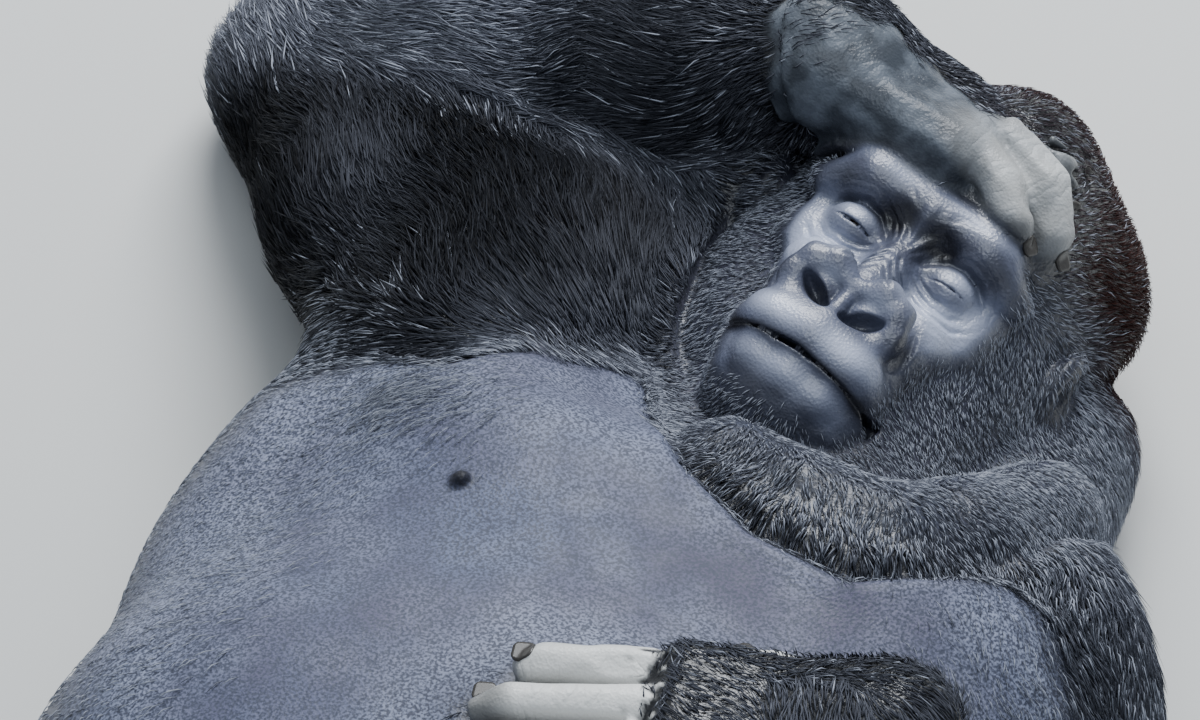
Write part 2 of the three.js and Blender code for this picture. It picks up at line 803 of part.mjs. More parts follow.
// the right hand lies along the forehead and curls over the crown
const rightHand = frameOf(onHead(12, 92, -22).sub(joints.right.wrist), along(vec(0, 0, 0),
  [headUp, 0.72], [headFront, 0.69]));
const leftHand = frameOf(vec(-0.953, -0.301, 0.02), vec(0.02, 0.12, 0.99));
const hands = {
  right: {
    frame: rightHand,
    digits: {
      little: [[-6, 84, -6], [24, 71, -1], [42, 56, 0], [52, 46, -5]],
      ring: [[4, 103, -20], [40, 93, -18], [59, 72, -24], [63, 56, -33]],
      middle: [[2, 119, -42], [32, 113, -46], [47, 99, -54], [48, 86, -58]],
      index: [[-8, 134, -62], [22, 134, -66], [42, 124, -72], [44, 110, -72]],
      thumb: [[-74, 116, -66], [-50, 128, -88], [-30, 134, -98]],
    },
  },
  left: {
    frame: leftHand,
    digits: {
      index: [[112, 32, -2], [165, 29, -6], [196, 26, -9], [203, 25, -14]],
      middle: [[118, 5, 0], [160, 1, -5], [206, -4, -8], [221, -7, -14]],
      ring: [[114, -21, -1], [154, -27, -6], [194, -33, -10], [210, -37, -15]],
      little: [[106, -44, -4], [140, -52, -9], [170, -58, -13], [184, -62, -18]],
      thumb: [[34, 40, -18], [70, 58, -22], [100, 60, -26]],
    },
  },
};
const digitRadius = {
  thumb: [16, 14.5, 12],
  index: [15.5, 15, 14, 12],
  middle: [16.5, 16, 15, 12.5],
  ring: [15.5, 15, 14, 12],
  little: [14, 13.5, 12.5, 11],
};
for (const side of ['right', 'left']) {
  const j = joints[side];
  const { frame, digits } = hands[side];
  const reach = unit(j.elbow, j.wrist);
  const { lower } = armFlesh(j, side === 'right');
  make(`${side}_hand`, {
    own: handFlesh(j.wrist, frame),
    near: lower.slice(1),
    cell: 8,
    budget: 220,
    planes: [[j.wrist, flip(reach)]],
    away: ['chest', 'belly', 'neck', 'head'],
  });
  const place = side === 'right'
    ? (p) => onHead(...p)
    : ([f, v, n]) => along(j.wrist, [frame[0], f], [frame[1], -v], [frame[2], n]);
  const done = [];
  for (const [digit, joint] of Object.entries(digits)) {
    const name = `${side}_${digit}${digit === 'thumb' ? '' : '_finger'}`;
    make(name, {
      own: chain(joint.map(place), digitRadius[digit], 5),
      cell: 5,
      budget: 54,
      away: [`${side}_hand`, `${side}_forearm`, 'chest', 'belly', 'head', ...done],
    });
    done.push(name);
  }
}

// legs, splayed and bent, resting on the heels
const toes = {
  big: { base: [150, 48, -6], tip: [206, 84, -8], radii: [18, 18, 15] },
  second: { base: [206, 26, 0], tip: [266, 30, -2], radii: [14, 13, 11] },
  third: { base: [208, 6, 1], tip: [272, 8, -2], radii: [14, 13, 11] },
  fourth: { base: [204, -14, 0], tip: [262, -14, -3], radii: [13, 12, 10] },
  fifth: { base: [194, -33, -3], tip: [244, -36, -6], radii: [12.5, 11.5, 10] },
};
for (const side of ['right', 'left']) {
  const j = joints[side];
  const { thigh, shank, thighDir, shankDir } = legFlesh(j);
  const bend = thighDir.clone().add(shankDir).normalize();
  const toeWay = vec(j.s * 0.25, -0.86, 0.45).normalize();
  const frame = frameOf(toeWay, flip(shankDir));
  const inward = -j.s * Math.sign(frame[1].x);
  const heel = along(j.ankle, [frame[0], -38], [frame[2], -22]);
  const place = ([f, v, n]) => along(heel, [frame[0], f], [frame[1], inward * v], [frame[2], n]);
  const ankleCut = mix(frame[0], shankDir, 0.5).normalize();
  make(`${side}_thigh`, {
    own: thigh,
    near: shank,
    cell: 14,
    budget: 200,
    planes: [[j.knee, bend]],
    away: ['pelvis', 'belly'],
  });
  make(`${side}_lower_leg`, {
    own: shank,
    near: thigh,
    cell: 12,
    budget: 190,
    planes: [[j.knee, flip(bend)], [j.ankle, ankleCut]],
  });
  const foot = [
    rod(j.ankle, place([30, 0, 4]), 46, 44, 24),
    ball(place([10, 0, -10]), [46, 36, 38], frame, 24),
    rod(place([40, 0, 0]), place([120, 4, 2]), 42, 34, 24),
    pad(place([140, 0, 2]), [74, LEG.footWidth / 2, 22], 20, frame, 24),
  ];
  make(`${side}_foot`, {
    own: foot,
    near: shank,
    cell: 9,
    budget: 260,
    planes: [[j.ankle, flip(ankleCut)]],
  });
  const done = [];
  for (const [toe, { base, tip, radii }] of Object.entries(toes)) {
    const middle = base.map((b, i) => (b + tip[i]) / 2 + (i === 2 ? 5 : 0));
    const name = `${side}_${toe}_toe`;
    make(name, {
      own: chain([base, middle, tip].map(place), radii, 5),
      cell: 5,
      budget: 48,
      away: [`${side}_foot`, ...done],
    });
    done.push(name);
  }
}

// ---------------------------------------------------------------- finished group
const LOOK = {
  face: { color: 0x2b2c30, roughness: 0.5, metalness: 0 },
  eye: { color: 0x1a0f0a, roughness: 0.15, metalness: 0 },
  coat: { color: 0x23211f, roughness: 0.85, metalness: 0 },
  bare: { color: 0x4a484f, roughness: 0.6, metalness: 0 },
};
const lookOf = (name) => {
  if (name.endsWith('eye')) {
    return LOOK.eye;
  }
  if (/finger|thumb|toe|hand|foot|belly|chest/.test(name)) {
    return LOOK.bare;
  }
  return /ear|head/.test(name) && !/forearm/.test(name) ? LOOK.face : LOOK.coat;
};

const bounds = new THREE.Box3();
for (const { points, faces } of nodes.values()) {
  faces.forEach((f) => f.forEach((v) => bounds.expandByPoint(points[v])));
}
const middle = bounds.getCenter(vec(0, 0, 0));
const group = new THREE.Group();
group.name = 'gorilla';
for (const [name, shell] of nodes) {
  const { coords, tris } = pack(shell);
  const geometry = new THREE.BufferGeometry();
  geometry.setAttribute('position', new THREE.Float32BufferAttribute(coords, 3));
  geometry.setIndex(tris);
  geometry.translate(-middle.x, -middle.y, -bounds.min.z);
  const mesh = new THREE.Mesh(geometry, new THREE.MeshStandardMaterial(lookOf(name)));
  mesh.name = name;
  group.add(mesh);
}

export default group;
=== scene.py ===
"""A sleeping gorilla at life size: skin, eyes, nails and coat, laid over its plain solids."""
import math

import bpy
import bmesh
import numpy as np
import openvdb as vdb
from mathutils import Matrix, Vector


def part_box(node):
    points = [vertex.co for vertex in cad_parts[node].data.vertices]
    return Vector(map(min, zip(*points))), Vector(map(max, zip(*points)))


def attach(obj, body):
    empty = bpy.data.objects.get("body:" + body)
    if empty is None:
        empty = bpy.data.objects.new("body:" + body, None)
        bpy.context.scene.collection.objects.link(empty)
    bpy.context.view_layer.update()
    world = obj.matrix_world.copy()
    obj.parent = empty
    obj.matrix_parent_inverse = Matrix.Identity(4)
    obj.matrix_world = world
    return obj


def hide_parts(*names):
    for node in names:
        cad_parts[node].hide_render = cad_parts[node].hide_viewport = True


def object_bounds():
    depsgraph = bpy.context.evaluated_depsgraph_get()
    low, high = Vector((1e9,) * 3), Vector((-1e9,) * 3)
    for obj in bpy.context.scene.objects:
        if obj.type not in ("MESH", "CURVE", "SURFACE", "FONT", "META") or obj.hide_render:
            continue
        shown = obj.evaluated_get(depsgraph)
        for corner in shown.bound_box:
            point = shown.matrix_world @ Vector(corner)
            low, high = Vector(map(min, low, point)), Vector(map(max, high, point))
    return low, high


bl_info = {
    "name": "Sleeping Gorilla Model",
    "version": (1, 0, 0),
    "blender": (4, 5, 0),
    "location": "View3D > Sidebar > Gorilla",
    "description": "Dresses a life-size gorilla, asleep on its back, in skin and coat",
    "category": "Add Mesh",
}

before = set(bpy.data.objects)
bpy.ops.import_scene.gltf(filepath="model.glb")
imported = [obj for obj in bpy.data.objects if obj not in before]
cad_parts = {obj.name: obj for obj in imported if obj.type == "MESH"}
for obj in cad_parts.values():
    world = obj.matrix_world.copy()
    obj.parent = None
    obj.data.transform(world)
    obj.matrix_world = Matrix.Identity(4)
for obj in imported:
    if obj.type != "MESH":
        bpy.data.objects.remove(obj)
CAD_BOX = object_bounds()
MM = 0.001
SEED = 7

# ------------------------------------------------------------ the body's own frame
# Axes of the head: to its left, up to the crown, out of the face.
HEAD_LEFT = np.array([0.9785, -0.1593, -0.1249])
HEAD_FRONT = np.cross(HEAD_LEFT, [0.1869, 0.9483, 0.2545])
HEAD_LEFT = HEAD_LEFT / np.linalg.norm(HEAD_LEFT)
HEAD_FRONT = HEAD_FRONT / np.linalg.norm(HEAD_FRONT)
HEAD_UP = np.cross(HEAD_FRONT, HEAD_LEFT)
HEAD_AXES = np.array([HEAD_LEFT, HEAD_UP, HEAD_FRONT])
EYE_DEPTH = 13 * MM


def middle(node):
    """Centre of a node's box."""
    low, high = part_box(node)
    return np.array((low + high) / 2)


EYES = {side: middle(side + "_eye") for side in ("right", "left")}
EYE_MID = (EYES["right"] + EYES["left"]) / 2 + HEAD_FRONT * EYE_DEPTH
# the zero of the body's own axes, on the floor under the chest
EYES_ON_BODY = (-1.0, 310.5, 216.7)
BODY = EYE_MID - np.array(EYES_ON_BODY) * MM


def at(x, y, z):
    """A point given in millimetres on the body's own axes."""
    return BODY + np.array([x, y, z], float) * MM


GROUPS = {
    "head": ["head", "right_ear", "left_ear"],
    "neck": ["neck"],
    "chest": ["chest"],
    "belly": ["belly"],
    "pelvis": ["pelvis"],
}
for side in ("right", "left"):
    GROUPS[side + "_upper_arm"] = [side + "_upper_arm"]
    GROUPS[side + "_forearm"] = [side + "_forearm"]
    GROUPS[side + "_palm"] = [side + "_hand"]
    GROUPS[side + "_digits"] = [
        f"{side}_{d}_finger" for d in ("little", "ring", "middle", "index")
    ] + [side + "_thumb"]
    GROUPS[side + "_thigh"] = [side + "_thigh"]
    GROUPS[side + "_shank"] = [side + "_lower_leg"]
    GROUPS[side + "_foot"] = [side + "_foot"]
    GROUPS[side + "_toes"] = [
        f"{side}_{d}_toe" for d in ("big", "second", "third", "fourth", "fifth")
    ]
FLESH = [n for members in GROUPS.values() for n in members]


def soup(nodes):
    """Points and triangles of several solids as arrays."""
    points, faces, count = [], [], 0
    for name in nodes:
        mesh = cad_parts[name].data
        mesh.calc_loop_triangles()
        co = np.empty(len(mesh.vertices) * 3, np.float32)
        mesh.vertices.foreach_get("co", co)
        tri = np.empty(len(mesh.loop_triangles) * 3, np.int32)
        mesh.loop_triangles.foreach_get("vertices", tri)
        points.append(co.reshape(-1, 3))
        faces.append(tri.reshape(-1, 3) + count)
        count += len(mesh.vertices)
    return np.concatenate(points), np.concatenate(faces)


def welded(points, faces):
    """The same triangles with doubled corners joined."""
    key = np.round(points / 1e-6).astype(np.int64)
    _, first, back = np.unique(key, axis=0, return_index=True, return_inverse=True)
    faces = back.reshape(-1)[faces]
    keep = (faces[:, 0] != faces[:, 1]) & (faces[:, 1] != faces[:, 2]) & (faces[:, 2] != faces[:, 0])
    return points[first], faces[keep]


# ------------------------------------------------------------ distance on a box of samples
class Samples:
    """Numbers kept on a regular box of points, read anywhere between them."""

    def __init__(self, low, high, step, depth=1):
        self.low = np.asarray(low, float)
        self.step = step
        self.shape = tuple(int(math.ceil(s / step)) + 1 for s in (np.asarray(high) - self.low))
        self.data = np.zeros(self.shape + ((depth,) if depth > 1 else ()), np.float32)

    def points(self):
        """Places of the samples."""
        axes = [self.low[k] + self.step * np.arange(self.shape[k]) for k in range(3)]
        return np.stack(np.meshgrid(*axes, indexing="ij"), -1)

    def read(self, p):
        """Values at points, blended from the eight samples round each."""
        q = (np.asarray(p) - self.low) / self.step
        q = np.clip(q, 0, np.array(self.shape) - 1.001)
        i = q.astype(np.int64)
        f = (q - i).astype(np.float32)
        _, ny, nz = self.shape
        flat = self.data.reshape(self.shape[0] * ny * nz, -1)
        base = (i[..., 0] * ny + i[..., 1]) * nz + i[..., 2]
        out = 0.0
        for dx in (0, 1):
            wx = f[..., 0] if dx else 1 - f[..., 0]
            for dy in (0, 1):
                wy = f[..., 1] if dy else 1 - f[..., 1]
                for dz in (0, 1):
                    wz = f[..., 2] if dz else 1 - f[..., 2]
                    out = out + flat[base + (dx * ny + dy) * nz + dz] * (wx * wy * wz)[..., None]
        return out[..., 0] if self.data.ndim == 3 else out


def level_set(points, faces, low, shape, step, reach):
    """Signed distance from closed triangles, out to a reach, on a box of samples."""
    grid = vdb.FloatGrid.createLevelSetFromPolygons(
        (points - low).astype(np.float32),
        triangles=faces.astype(np.uint32),
        transform=vdb.createLinearTransform(voxelSize=step),
        halfWidth=reach / step,
    )
    out = np.full(shape, reach, np.float32)
    grid.copyToArray(out)
    return out


def polygons(data, low, step, level=0.0):
    """Surface of a box of samples at a level, as points, triangles and quads."""
    grid = vdb.FloatGrid(4 * step)
    grid.copyFromArray(data)
    grid.transform = vdb.createLinearTransform(voxelSize=step)
    points, tris, quads = grid.convertToPolygons(isovalue=level, adaptivity=0.0)
    return points + low, tris.astype(np.int64), quads.astype(np.int64)


def joined_distance(nodes, low, high, step, gap, reach):
    """Distance from several solids taken as one, with seams narrower than twice the gap closed."""
    box = Samples(low, high, step)
    box.data += 3 * step
    for name in nodes:
        points, faces = welded(*soup([name]))
        first = np.floor((points.min(0) - box.low) / step).astype(int) - 5
        last = np.ceil((points.max(0) - box.low) / step).astype(int) + 6
        first = np.clip(first, 0, np.array(box.shape) - 1)
        last = np.clip(last, first + 1, box.shape)
        near = level_set(points, faces, box.low + first * step, tuple(last - first), step, 3 * step)
        block = box.data[first[0]:last[0], first[1]:last[1], first[2]:last[2]]
        np.minimum(block, near, out=block)
    points, tris, quads = polygons(box.data, box.low, step, level=gap)
    faces = np.concatenate([tris, quads[:, [0, 1, 2]], quads[:, [0, 2, 3]]])
    box.data = level_set(points, faces, box.low, box.shape, step, reach) + gap
    return box


def smoothed(data, width):
    """Gaussian blur, width in samples, edges held."""
    reach = max(1, int(math.ceil(2.5 * width)))
    taps = np.exp(-0.5 * (np.arange(-reach, reach + 1) / width) ** 2)
    taps = (taps / taps.sum()).astype(np.float32)
    for axis in range(3):
        pad = [(0, 0)] * data.ndim
        pad[axis] = (reach, reach)
        wide = np.pad(data, pad, mode="edge")
        length = data.shape[axis]
        data = sum(
            t * np.take(wide, np.arange(n, n + length), axis=axis) if axis else t * wide[n:n + length]
            for n, t in enumerate(taps)
        )
    return data


def step_up(x, low, high):
    """Smooth rise from 0 at low to 1 at high."""
    t = np.clip((x - low) / (high - low), 0, 1)
    return t * t * (3 - 2 * t)


# ------------------------------------------------------------ what each part is covered with
# coat: depth of the coat in mm, the skin lying that far inside the solids
# length, width: of a tuft in mm; lift: how far it stands off the skin, 0 flat to 1 upright
# cover: share of the densest coat; grey: share of pale tufts; brown: red-brown tint
# smooth: how broadly the shape of the muscles is rounded
# tone: how light the dark hair is; on the arms it also carries painted light and shade, so the right
# upper arm is nearly black
TRAITS = ("coat", "length", "width", "lift", "cover", "grey", "brown", "smooth", "tone")
COVERING = {
    "head": (6, 17, 0.8, 0.30, 1.0, 0.8, 0.0, 0.25, 1.3),
    "neck": (7, 15, 0.8, 0.28, 1.0, 0.66, 0.0, 0.8, 1.3),
    "chest": (8, 24, 1.1, 0.24, 0.8, 0.12, 0.0, 1.0, 0.4),
    "belly": (9, 30, 1.8, 0.24, 0.7, 0.10, 0.0, 1.0, 0.5),
    "pelvis": (12, 38, 2.4, 0.26, 0.7, 0.0, 0.0, 1.0, 0.3),
    "upper_arm": (11, 36, 1.1, 0.28, 1.0, 0.0, 0.0, 0.75, 0.05),
    "forearm": (10, 34, 1.05, 0.28, 1.0, 0.08, 0.0, 0.5, 1.0),
    "palm": (2.5, 14, 1.0, 0.24, 0.6, 0.04, 0.0, 0.0, 0.5),
    "digits": (0, 8, 1.0, 0.20, 0.0, 0.05, 0.0, 0.0, 0.5),
    "thigh": (13, 40, 2.4, 0.28, 0.7, 0.0, 0.0, 0.9, 0.3),
    "shank": (12, 36, 2.2, 0.28, 0.7, 0.0, 0.0, 0.6, 0.3),
    "foot": (3, 14, 1.3, 0.22, 0.5, 0.0, 0.0, 0.0, 0.3),
    "toes": (0, 8, 1.2, 0.20, 0.0, 0.10, 0.0, 0.0, 0.4),
}


def kind_of(group):
    """Name of a group without its side."""
    return group.replace("right_", "").replace("left_", "")


def group_shares():
    """Share of every group, blended over a coarse box of samples."""
    step = 12 * MM
    low = np.array(CAD_BOX[0]) - 5 * step
    high = np.array(CAD_BOX[1]) + 5 * step
    soft = 14 * MM
    box = Samples(low, high, step, len(GROUPS))
    for n, members in enumerate(GROUPS.values()):
        points, faces = welded(*soup(members))
        near = level_set(points, faces, box.low, box.shape, step, 8 * step)
        box.data[..., n] = np.exp(-near / soft)
    box.data /= box.data.sum(-1, keepdims=True)
    return box


SHARES = group_shares()
GROUP_NAMES = list(GROUPS)
TRAIT_TABLE = np.array([COVERING[kind_of(g)] for g in GROUPS], np.float32)


def shares(p):
    """Share of each group at points, one column per group."""
    return SHARES.read(p)


def share_of(p_shares, *kinds):
    """Summed share of the groups of some kinds, such as palm, or right_palm for one side."""
    pick = [n for n, g in enumerate(GROUP_NAMES) if g in kinds or kind_of(g) in kinds]
    return p_shares[..., pick].sum(-1)


def head_place(p):
    """Points in millimetres across, up and out from between the eyes."""
    return ((np.asarray(p) - EYE_MID) @ HEAD_AXES.T) / MM


def body_place(p):
    """Points in millimetres on the body's own axes."""
    return (np.asarray(p) - BODY) / MM


# the bare face: heights, and its half width at each
FACE_HEIGHTS = (-150, -128, -104, -66, -46, -26, -8, 22, 44, 58)
FACE_HALVES = (26, 44, 53, 50, 56, 70, 72, 73, 62, 24)


def bare_face(h):
    """1 on the bare skin of the face, 0 in the hair round it, from head places."""
    a, up, out = h[..., 0], h[..., 1], h[..., 2]
    wide = np.interp(up, FACE_HEIGHTS, FACE_HALVES)
    side = 1 - step_up(np.abs(a), wide - 7, wide + 6)
    top = 1 - step_up(up, 44, 56)
    chin = step_up(up, -142, -122)
    front = step_up(out, -48, -26)
    return side * top * chin * front


# ------------------------------------------------------------ the skin as a field
# samples over the body lie BODY_STEP apart and are blurred twice, finely and broadly;
# those over the hands and feet lie PATCH_STEP apart
BODY_STEP = 6 * MM
BODY_SMOOTH = (1.6, 4.2)
PATCH_STEP = 2 * MM
PATCH_SMOOTH = 1.1


def body_samples():
    """Distance from the whole body, blurred finely and broadly."""
    low = np.array(CAD_BOX[0]) - 5 * BODY_STEP
    high = np.array(CAD_BOX[1]) + 5 * BODY_STEP
    box = joined_distance(FLESH, low, high, BODY_STEP, 3 * MM, 84 * MM)
    fine = smoothed(box.data, BODY_SMOOTH[0])
    broad = smoothed(box.data, BODY_SMOOTH[1])
    box.data = np.stack([fine, broad], -1)
    return box


def patch_samples(nodes, beside):
    """Distance from a hand or a foot and the limb beside it."""
    low = np.min([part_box(n)[0] for n in nodes], 0) - 12 * MM
    high = np.max([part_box(n)[1] for n in nodes], 0) + 12 * MM
    box = joined_distance(nodes + beside, low, high, PATCH_STEP, 0.7 * MM, 40 * MM)
    box.data = smoothed(box.data, PATCH_SMOOTH)
    return box


BODY_FIELD = body_samples()
PATCHES = {}
for side in ("right", "left"):
    for ends, root in (("palm", "forearm"), ("foot", "shank")):
        tips = "digits" if ends == "palm" else "toes"
        PATCHES[f"{side}_{ends}", f"{side}_{tips}"] = patch_samples(
            GROUPS[f"{side}_{ends}"] + GROUPS[f"{side}_{tips}"], GROUPS[f"{side}_{root}"])


# ------------------------------------------------------------ the head's own forms, in mm
def ball(p, centre, radii):
    """Distance from an ellipsoid."""
    q = (p - np.float32(centre)) / np.float32(radii)
    k0 = np.linalg.norm(q, axis=-1)
    k1 = np.linalg.norm(q / np.float32(radii), axis=-1)
    return k0 * (k0 - 1) / np.maximum(k1, 1e-6)


def tilted_ball(p, centre, radii, long_way):
    """A ball whose first axis runs along long_way, in the plane of the face."""
    u = np.array([long_way[0], long_way[1], 0.0]) / math.hypot(*long_way[:2])
    axes = np.array([u, [-u[1], u[0], 0], [0, 0, 1]], np.float32)
    return ball((p - np.float32(centre)) @ axes.T, (0, 0, 0), radii)


def rod(p, a, b, ra, rb):
    """Distance from a tapered rod with round ends."""
    a, b = np.float32(a), np.float32(b)
    ax = b - a
    t = np.clip(((p - a) @ ax) / (ax @ ax), 0, 1)
    return np.linalg.norm(p - a - t[..., None] * ax, axis=-1) - (ra + (rb - ra) * t)


def join(d, e, soft):
    """Two forms joined with a fillet."""
    h = np.maximum(0, 1 - np.abs(d - e) / soft)
    return np.minimum(d, e) - h * h * soft * 0.25


def cut(d, e, soft):
    """One form with another cut out of it, its edge rounded."""
    h = np.maximum(0, 1 - np.abs(d + e) / soft)
    return np.maximum(d, -e) + h * h * soft * 0.25


def both(*point):
    """A point of the head on its right and its left."""
    return [(s * point[0], *point[1:]) for s in (-1, 1)]


SKULL = [  # centre, radii, fillet
    ((0, 45, -110), (110, 98, 102), 20),
    ((0, 66, -136), (126, 92, 76), 24),
    ((0, 24, -150), (100, 86, 82), 24),
    ((0, 114, -112), (48, 54, 72), 34),
    *[(c, (64, 90, 66), 22) for c in both(54, -40, -86)],
    *[(c, (50, 70, 62), 22) for c in both(56, -88, -76)],
    ((0, -30, -52), (78, 90, 52), 16),
    ((0, -118, -44), (62, 48, 62), 18),
    ((0, 62, -60), (76, 40, 46), 16),
]
# the neck and the roll of the throat, on the body's own axes
NECK_BALLS = [((14, 146, 138), (116, 84, 70), 30), ((6, 258, 66), (160, 128, 74), 30),
              ((96, 312, 56), (64, 78, 54), 14)]
NECK_RODS = [((0, 140, 108), (-1, 310, 108), 102, 96, 24), ((94, 306, 58), (122, 202, 96), 60, 66, 14)]
JOWL = [(-14, 112, 222), (40, 92, 236), (88, 96, 234), (126, 142, 208), (146, 206, 170)]
JOWL_THICK = (44, 50, 50, 48, 42)
BROW = [(-72, 20, -20), (-42, 35, -9), (0, 33, -8), (42, 35, -9), (72, 20, -20)]
BROW_THICK = (14, 18, 17, 18, 14)
LIP_UP = [(-44, -94, 17), (-24, -87, 36), (0, -85, 40), (24, -87, 36), (44, -94, 17)]
LIP_UP_THICK = (15, 17.5, 18, 17.5, 15)
LIP_LOW = [(-43, -113, 14), (-22, -112, 34), (0, -111, 38), (22, -112, 34), (43, -113, 14)]
LIP_LOW_THICK = (12, 14.5, 15, 14.5, 12)
WING = [(4, -43, 38), (18, -37, 38), (30, -43, 36), (35, -56, 35), (30, -68, 38), (17, -73, 44),
        (3, -71, 49)]
WING_THICK = (7.5, 10.5, 11.5, 11, 9, 6.5, 5.5)
HALF_GAP = 35              # half the distance between the eyes


def chain(d, p, points, thick, soft):
    """A form joined with rods through points."""
    for n in range(len(points) - 1):
        d = join(d, rod(p, points[n], points[n + 1], thick[n], thick[n + 1]), soft)
    return d


def mouth_line(a):
    """Height of the closed lips' meeting line across the face, in mm."""
    return -97.5 - 0.0012 * a * a - 0.04 * np.abs(a)


def head_forms(p):
    """Distance in mm from the skin of the head, without folds, at head places."""
    p = np.asarray(p, np.float32)
    d = np.full(p.shape[:-1], 1e3, np.float32)
    for centre, radii, soft in SKULL:
        d = join(d, ball(p, centre, radii), soft)
    b = p @ HEAD_AXES.astype(np.float32) + np.float32(EYES_ON_BODY)
    for centre, radii, soft in NECK_BALLS:
        d = join(d, ball(b, centre, radii), soft)
    for start, end, first, last, soft in NECK_RODS:
        d = join(d, rod(b, start, end, first, last), soft)
    d = chain(d, b, JOWL, JOWL_THICK, 12)
    d = chain(d, p, BROW, BROW_THICK, 9)
    # muzzle, upper lip, jaw, lower lip and chin
    d = join(d, ball(p, (0, -84, -2), (55, 42, 50)), 14)
    d = chain(d, p, LIP_UP, LIP_UP_THICK, 14)
    d = join(d, ball(p, (0, -126, 4), (54, 34, 42)), 10)
    d = chain(d, p, LIP_LOW, LIP_LOW_THICK, 6)
    d = join(d, ball(p, (0, -134, 14), (40, 24, 31)), 12)
    # cheek bones and the swell beside the nose, its bridge, and the lids
    for s in (-1, 1):
        d = join(d, ball(p, (s * 54, -16, -28), (26, 24, 20)), 12)
        d = join(d, ball(p, (s * 38, -50, -2), (22, 32, 20)), 12)
    d = join(d, rod(p, (0, 8, -8), (0, -36, 18), 11, 14), 10)
    for s in (-1, 1):
        d = join(d, ball(p, (s * HALF_GAP, 0, -13), (19, 15.5, 17)), 4)
    # wings of the nose, what fills them, and the ridge between them
    pad = np.full(d.shape, 1e3, np.float32)
    for s in (-1, 1):
        wing = [(s * a, h, f) for a, h, f in WING]
        pad = chain(pad, p, wing, WING_THICK, 3)
        pad = join(pad, ball(p, (s * 18, -55, 31), (17, 16, 14)), 4)
    pad = join(pad, rod(p, (0, -44, 38), (0, -70, 47), 5, 5), 3)
    d = join(d, pad, 3.5)
    # nostrils, and the hollows over the eyes' inner corners
    for s in (-1, 1):
        d = cut(d, tilted_ball(p, (s * 17, -59.5, 50), (14.5, 6.2, 19), (s * 0.88, 0.47)), 1.8)
        d = cut(d, ball(p, (s * 17, 17, 9), (11, 9, 9)), 7)
    return d


def ear(p, s):
    """A small rounded ear with a rolled rim and a bowl."""
    centre = np.float32((s * 113, 9, -78))
    q = (p - centre) * np.float32((s, 1, 1))
    body = ball(q, (-3, 0, 0), (9, 25, 17))
    body = join(body, ball(q, (-9, -5, -2), (14, 19, 15)), 8)
    body = cut(body, ball(q, (7, 2, 3), (6, 17, 10)), 4)
    return cut(body, ball(q, (3, -3, 2), (8, 8, 6)), 4)


# creases of both sides of the face: places across and up, depth and half width in mm
CREASES = [
    # folds round the eyes
    ([(13, 1), (17, 7), (26, 14), (37, 16.5), (49, 13), (57, 4)], 1.5, 2.2),
    ([(16, -4), (22, -8), (31, -10.5), (40, -10)], 0.9, 1.3),
    ([(14, -8), (22, -13.5), (33, -17), (46, -16), (55, -10)], 1.0, 1.5),
    ([(16, -15), (25, -20.5), (38, -24), (52, -22), (61, -14)], 0.8, 1.6),
    ([(25, -29), (38, -31), (52, -28)], 0.5, 1.8),
    # root of the nose and the brow
    ([(2, 4), (3, 14), (5, 26), (7, 38)], 1.1, 2.6),
    ([(10, -2), (13, 8), (19, 17), (30, 22)], 1.8, 3.0),
    ([(6, 2), (9, 10), (15, 19)], 0.9, 1.4),
    ([(3, -4), (8, -12), (15, -20)], 1.4, 1.3),
    ([(2, -10), (8, -19), (16, -27)], 1.2, 1.3),
    ([(2, -17), (9, -26), (19, -33)], 0.9, 1.2),
    ([(9, 30), (22, 40), (40, 46)], 0.8, 2.4),
    # beside the nose and the lip
    ([(40, -36), (45, -50), (46, -62), (43, -71)], 1.8, 2.0),
    ([(43, -71), (50, -78), (55, -88), (54, -99)], 1.6, 1.9),
    ([(54, -99), (57, -110), (53, -124), (44, -136)], 1.4, 2.4),
]


def creases(h):
    """How far the folds sink the skin, in mm, at head places."""
    a, up = np.abs(h[..., 0]), h[..., 1]
    q = np.stack([a, up], -1)
    sink = np.zeros(a.shape, np.float32)
    for places, depth, half in CREASES:
        near = np.full(a.shape, 1e3, np.float32)
        run = np.zeros(a.shape, np.float32)
        total = len(places) - 1
        for n in range(total):
            s, e = np.array(places[n], float), np.array(places[n + 1], float)
            t = np.clip(((q - s) @ (e - s)) / ((e - s) @ (e - s)), 0, 1)
            gap = np.linalg.norm(q - s - t[..., None] * (e - s), axis=-1)
            closer = gap < near
            near = np.where(closer, gap, near)
            run = np.where(closer, (n + t) / total, run)
        taper = np.clip(np.minimum(run, 1 - run) * 5 + 0.15, 0, 1)
        g = near / half
        sink += depth * taper * (np.exp(-g * g) - 0.35 * np.exp(-((g - 2.2) / 1.1) ** 2))
    return sink


def lip_gap(h):
    """Distance in mm from the thin gap between the lips."""
    a, up, out = h[..., 0], h[..., 1], h[..., 2]
    half = (0.55 + 1.3 * np.exp(-((a + 8) / 17) ** 2)) * (1 - 0.8 * step_up(np.abs(a), 32, 48))
    side = np.abs(a) - 52
    return np.maximum(np.maximum(np.abs(up - mouth_line(a)) - half, side), 8 - out)


def lid_gap(h):
    """Distance in mm from the slits between the lids."""
    gap = np.full(h.shape[:-1], 1e3, np.float32)
    for s, wide in ((-1, 1.25), (1, 0.5)):
        a, up = h[..., 0] * s - HALF_GAP, h[..., 1]
        line = -0.2 - 0.008 * a * a + 0.05 * a
        inside = np.maximum(np.abs(a) - 12.5, -22 - h[..., 2])
        wide_here = wide * np.sqrt(np.clip(1 - (a / 13) ** 2, 0, 1))
        gap = np.minimum(gap, np.maximum(np.abs(up - line) - wide_here, inside))
    return gap


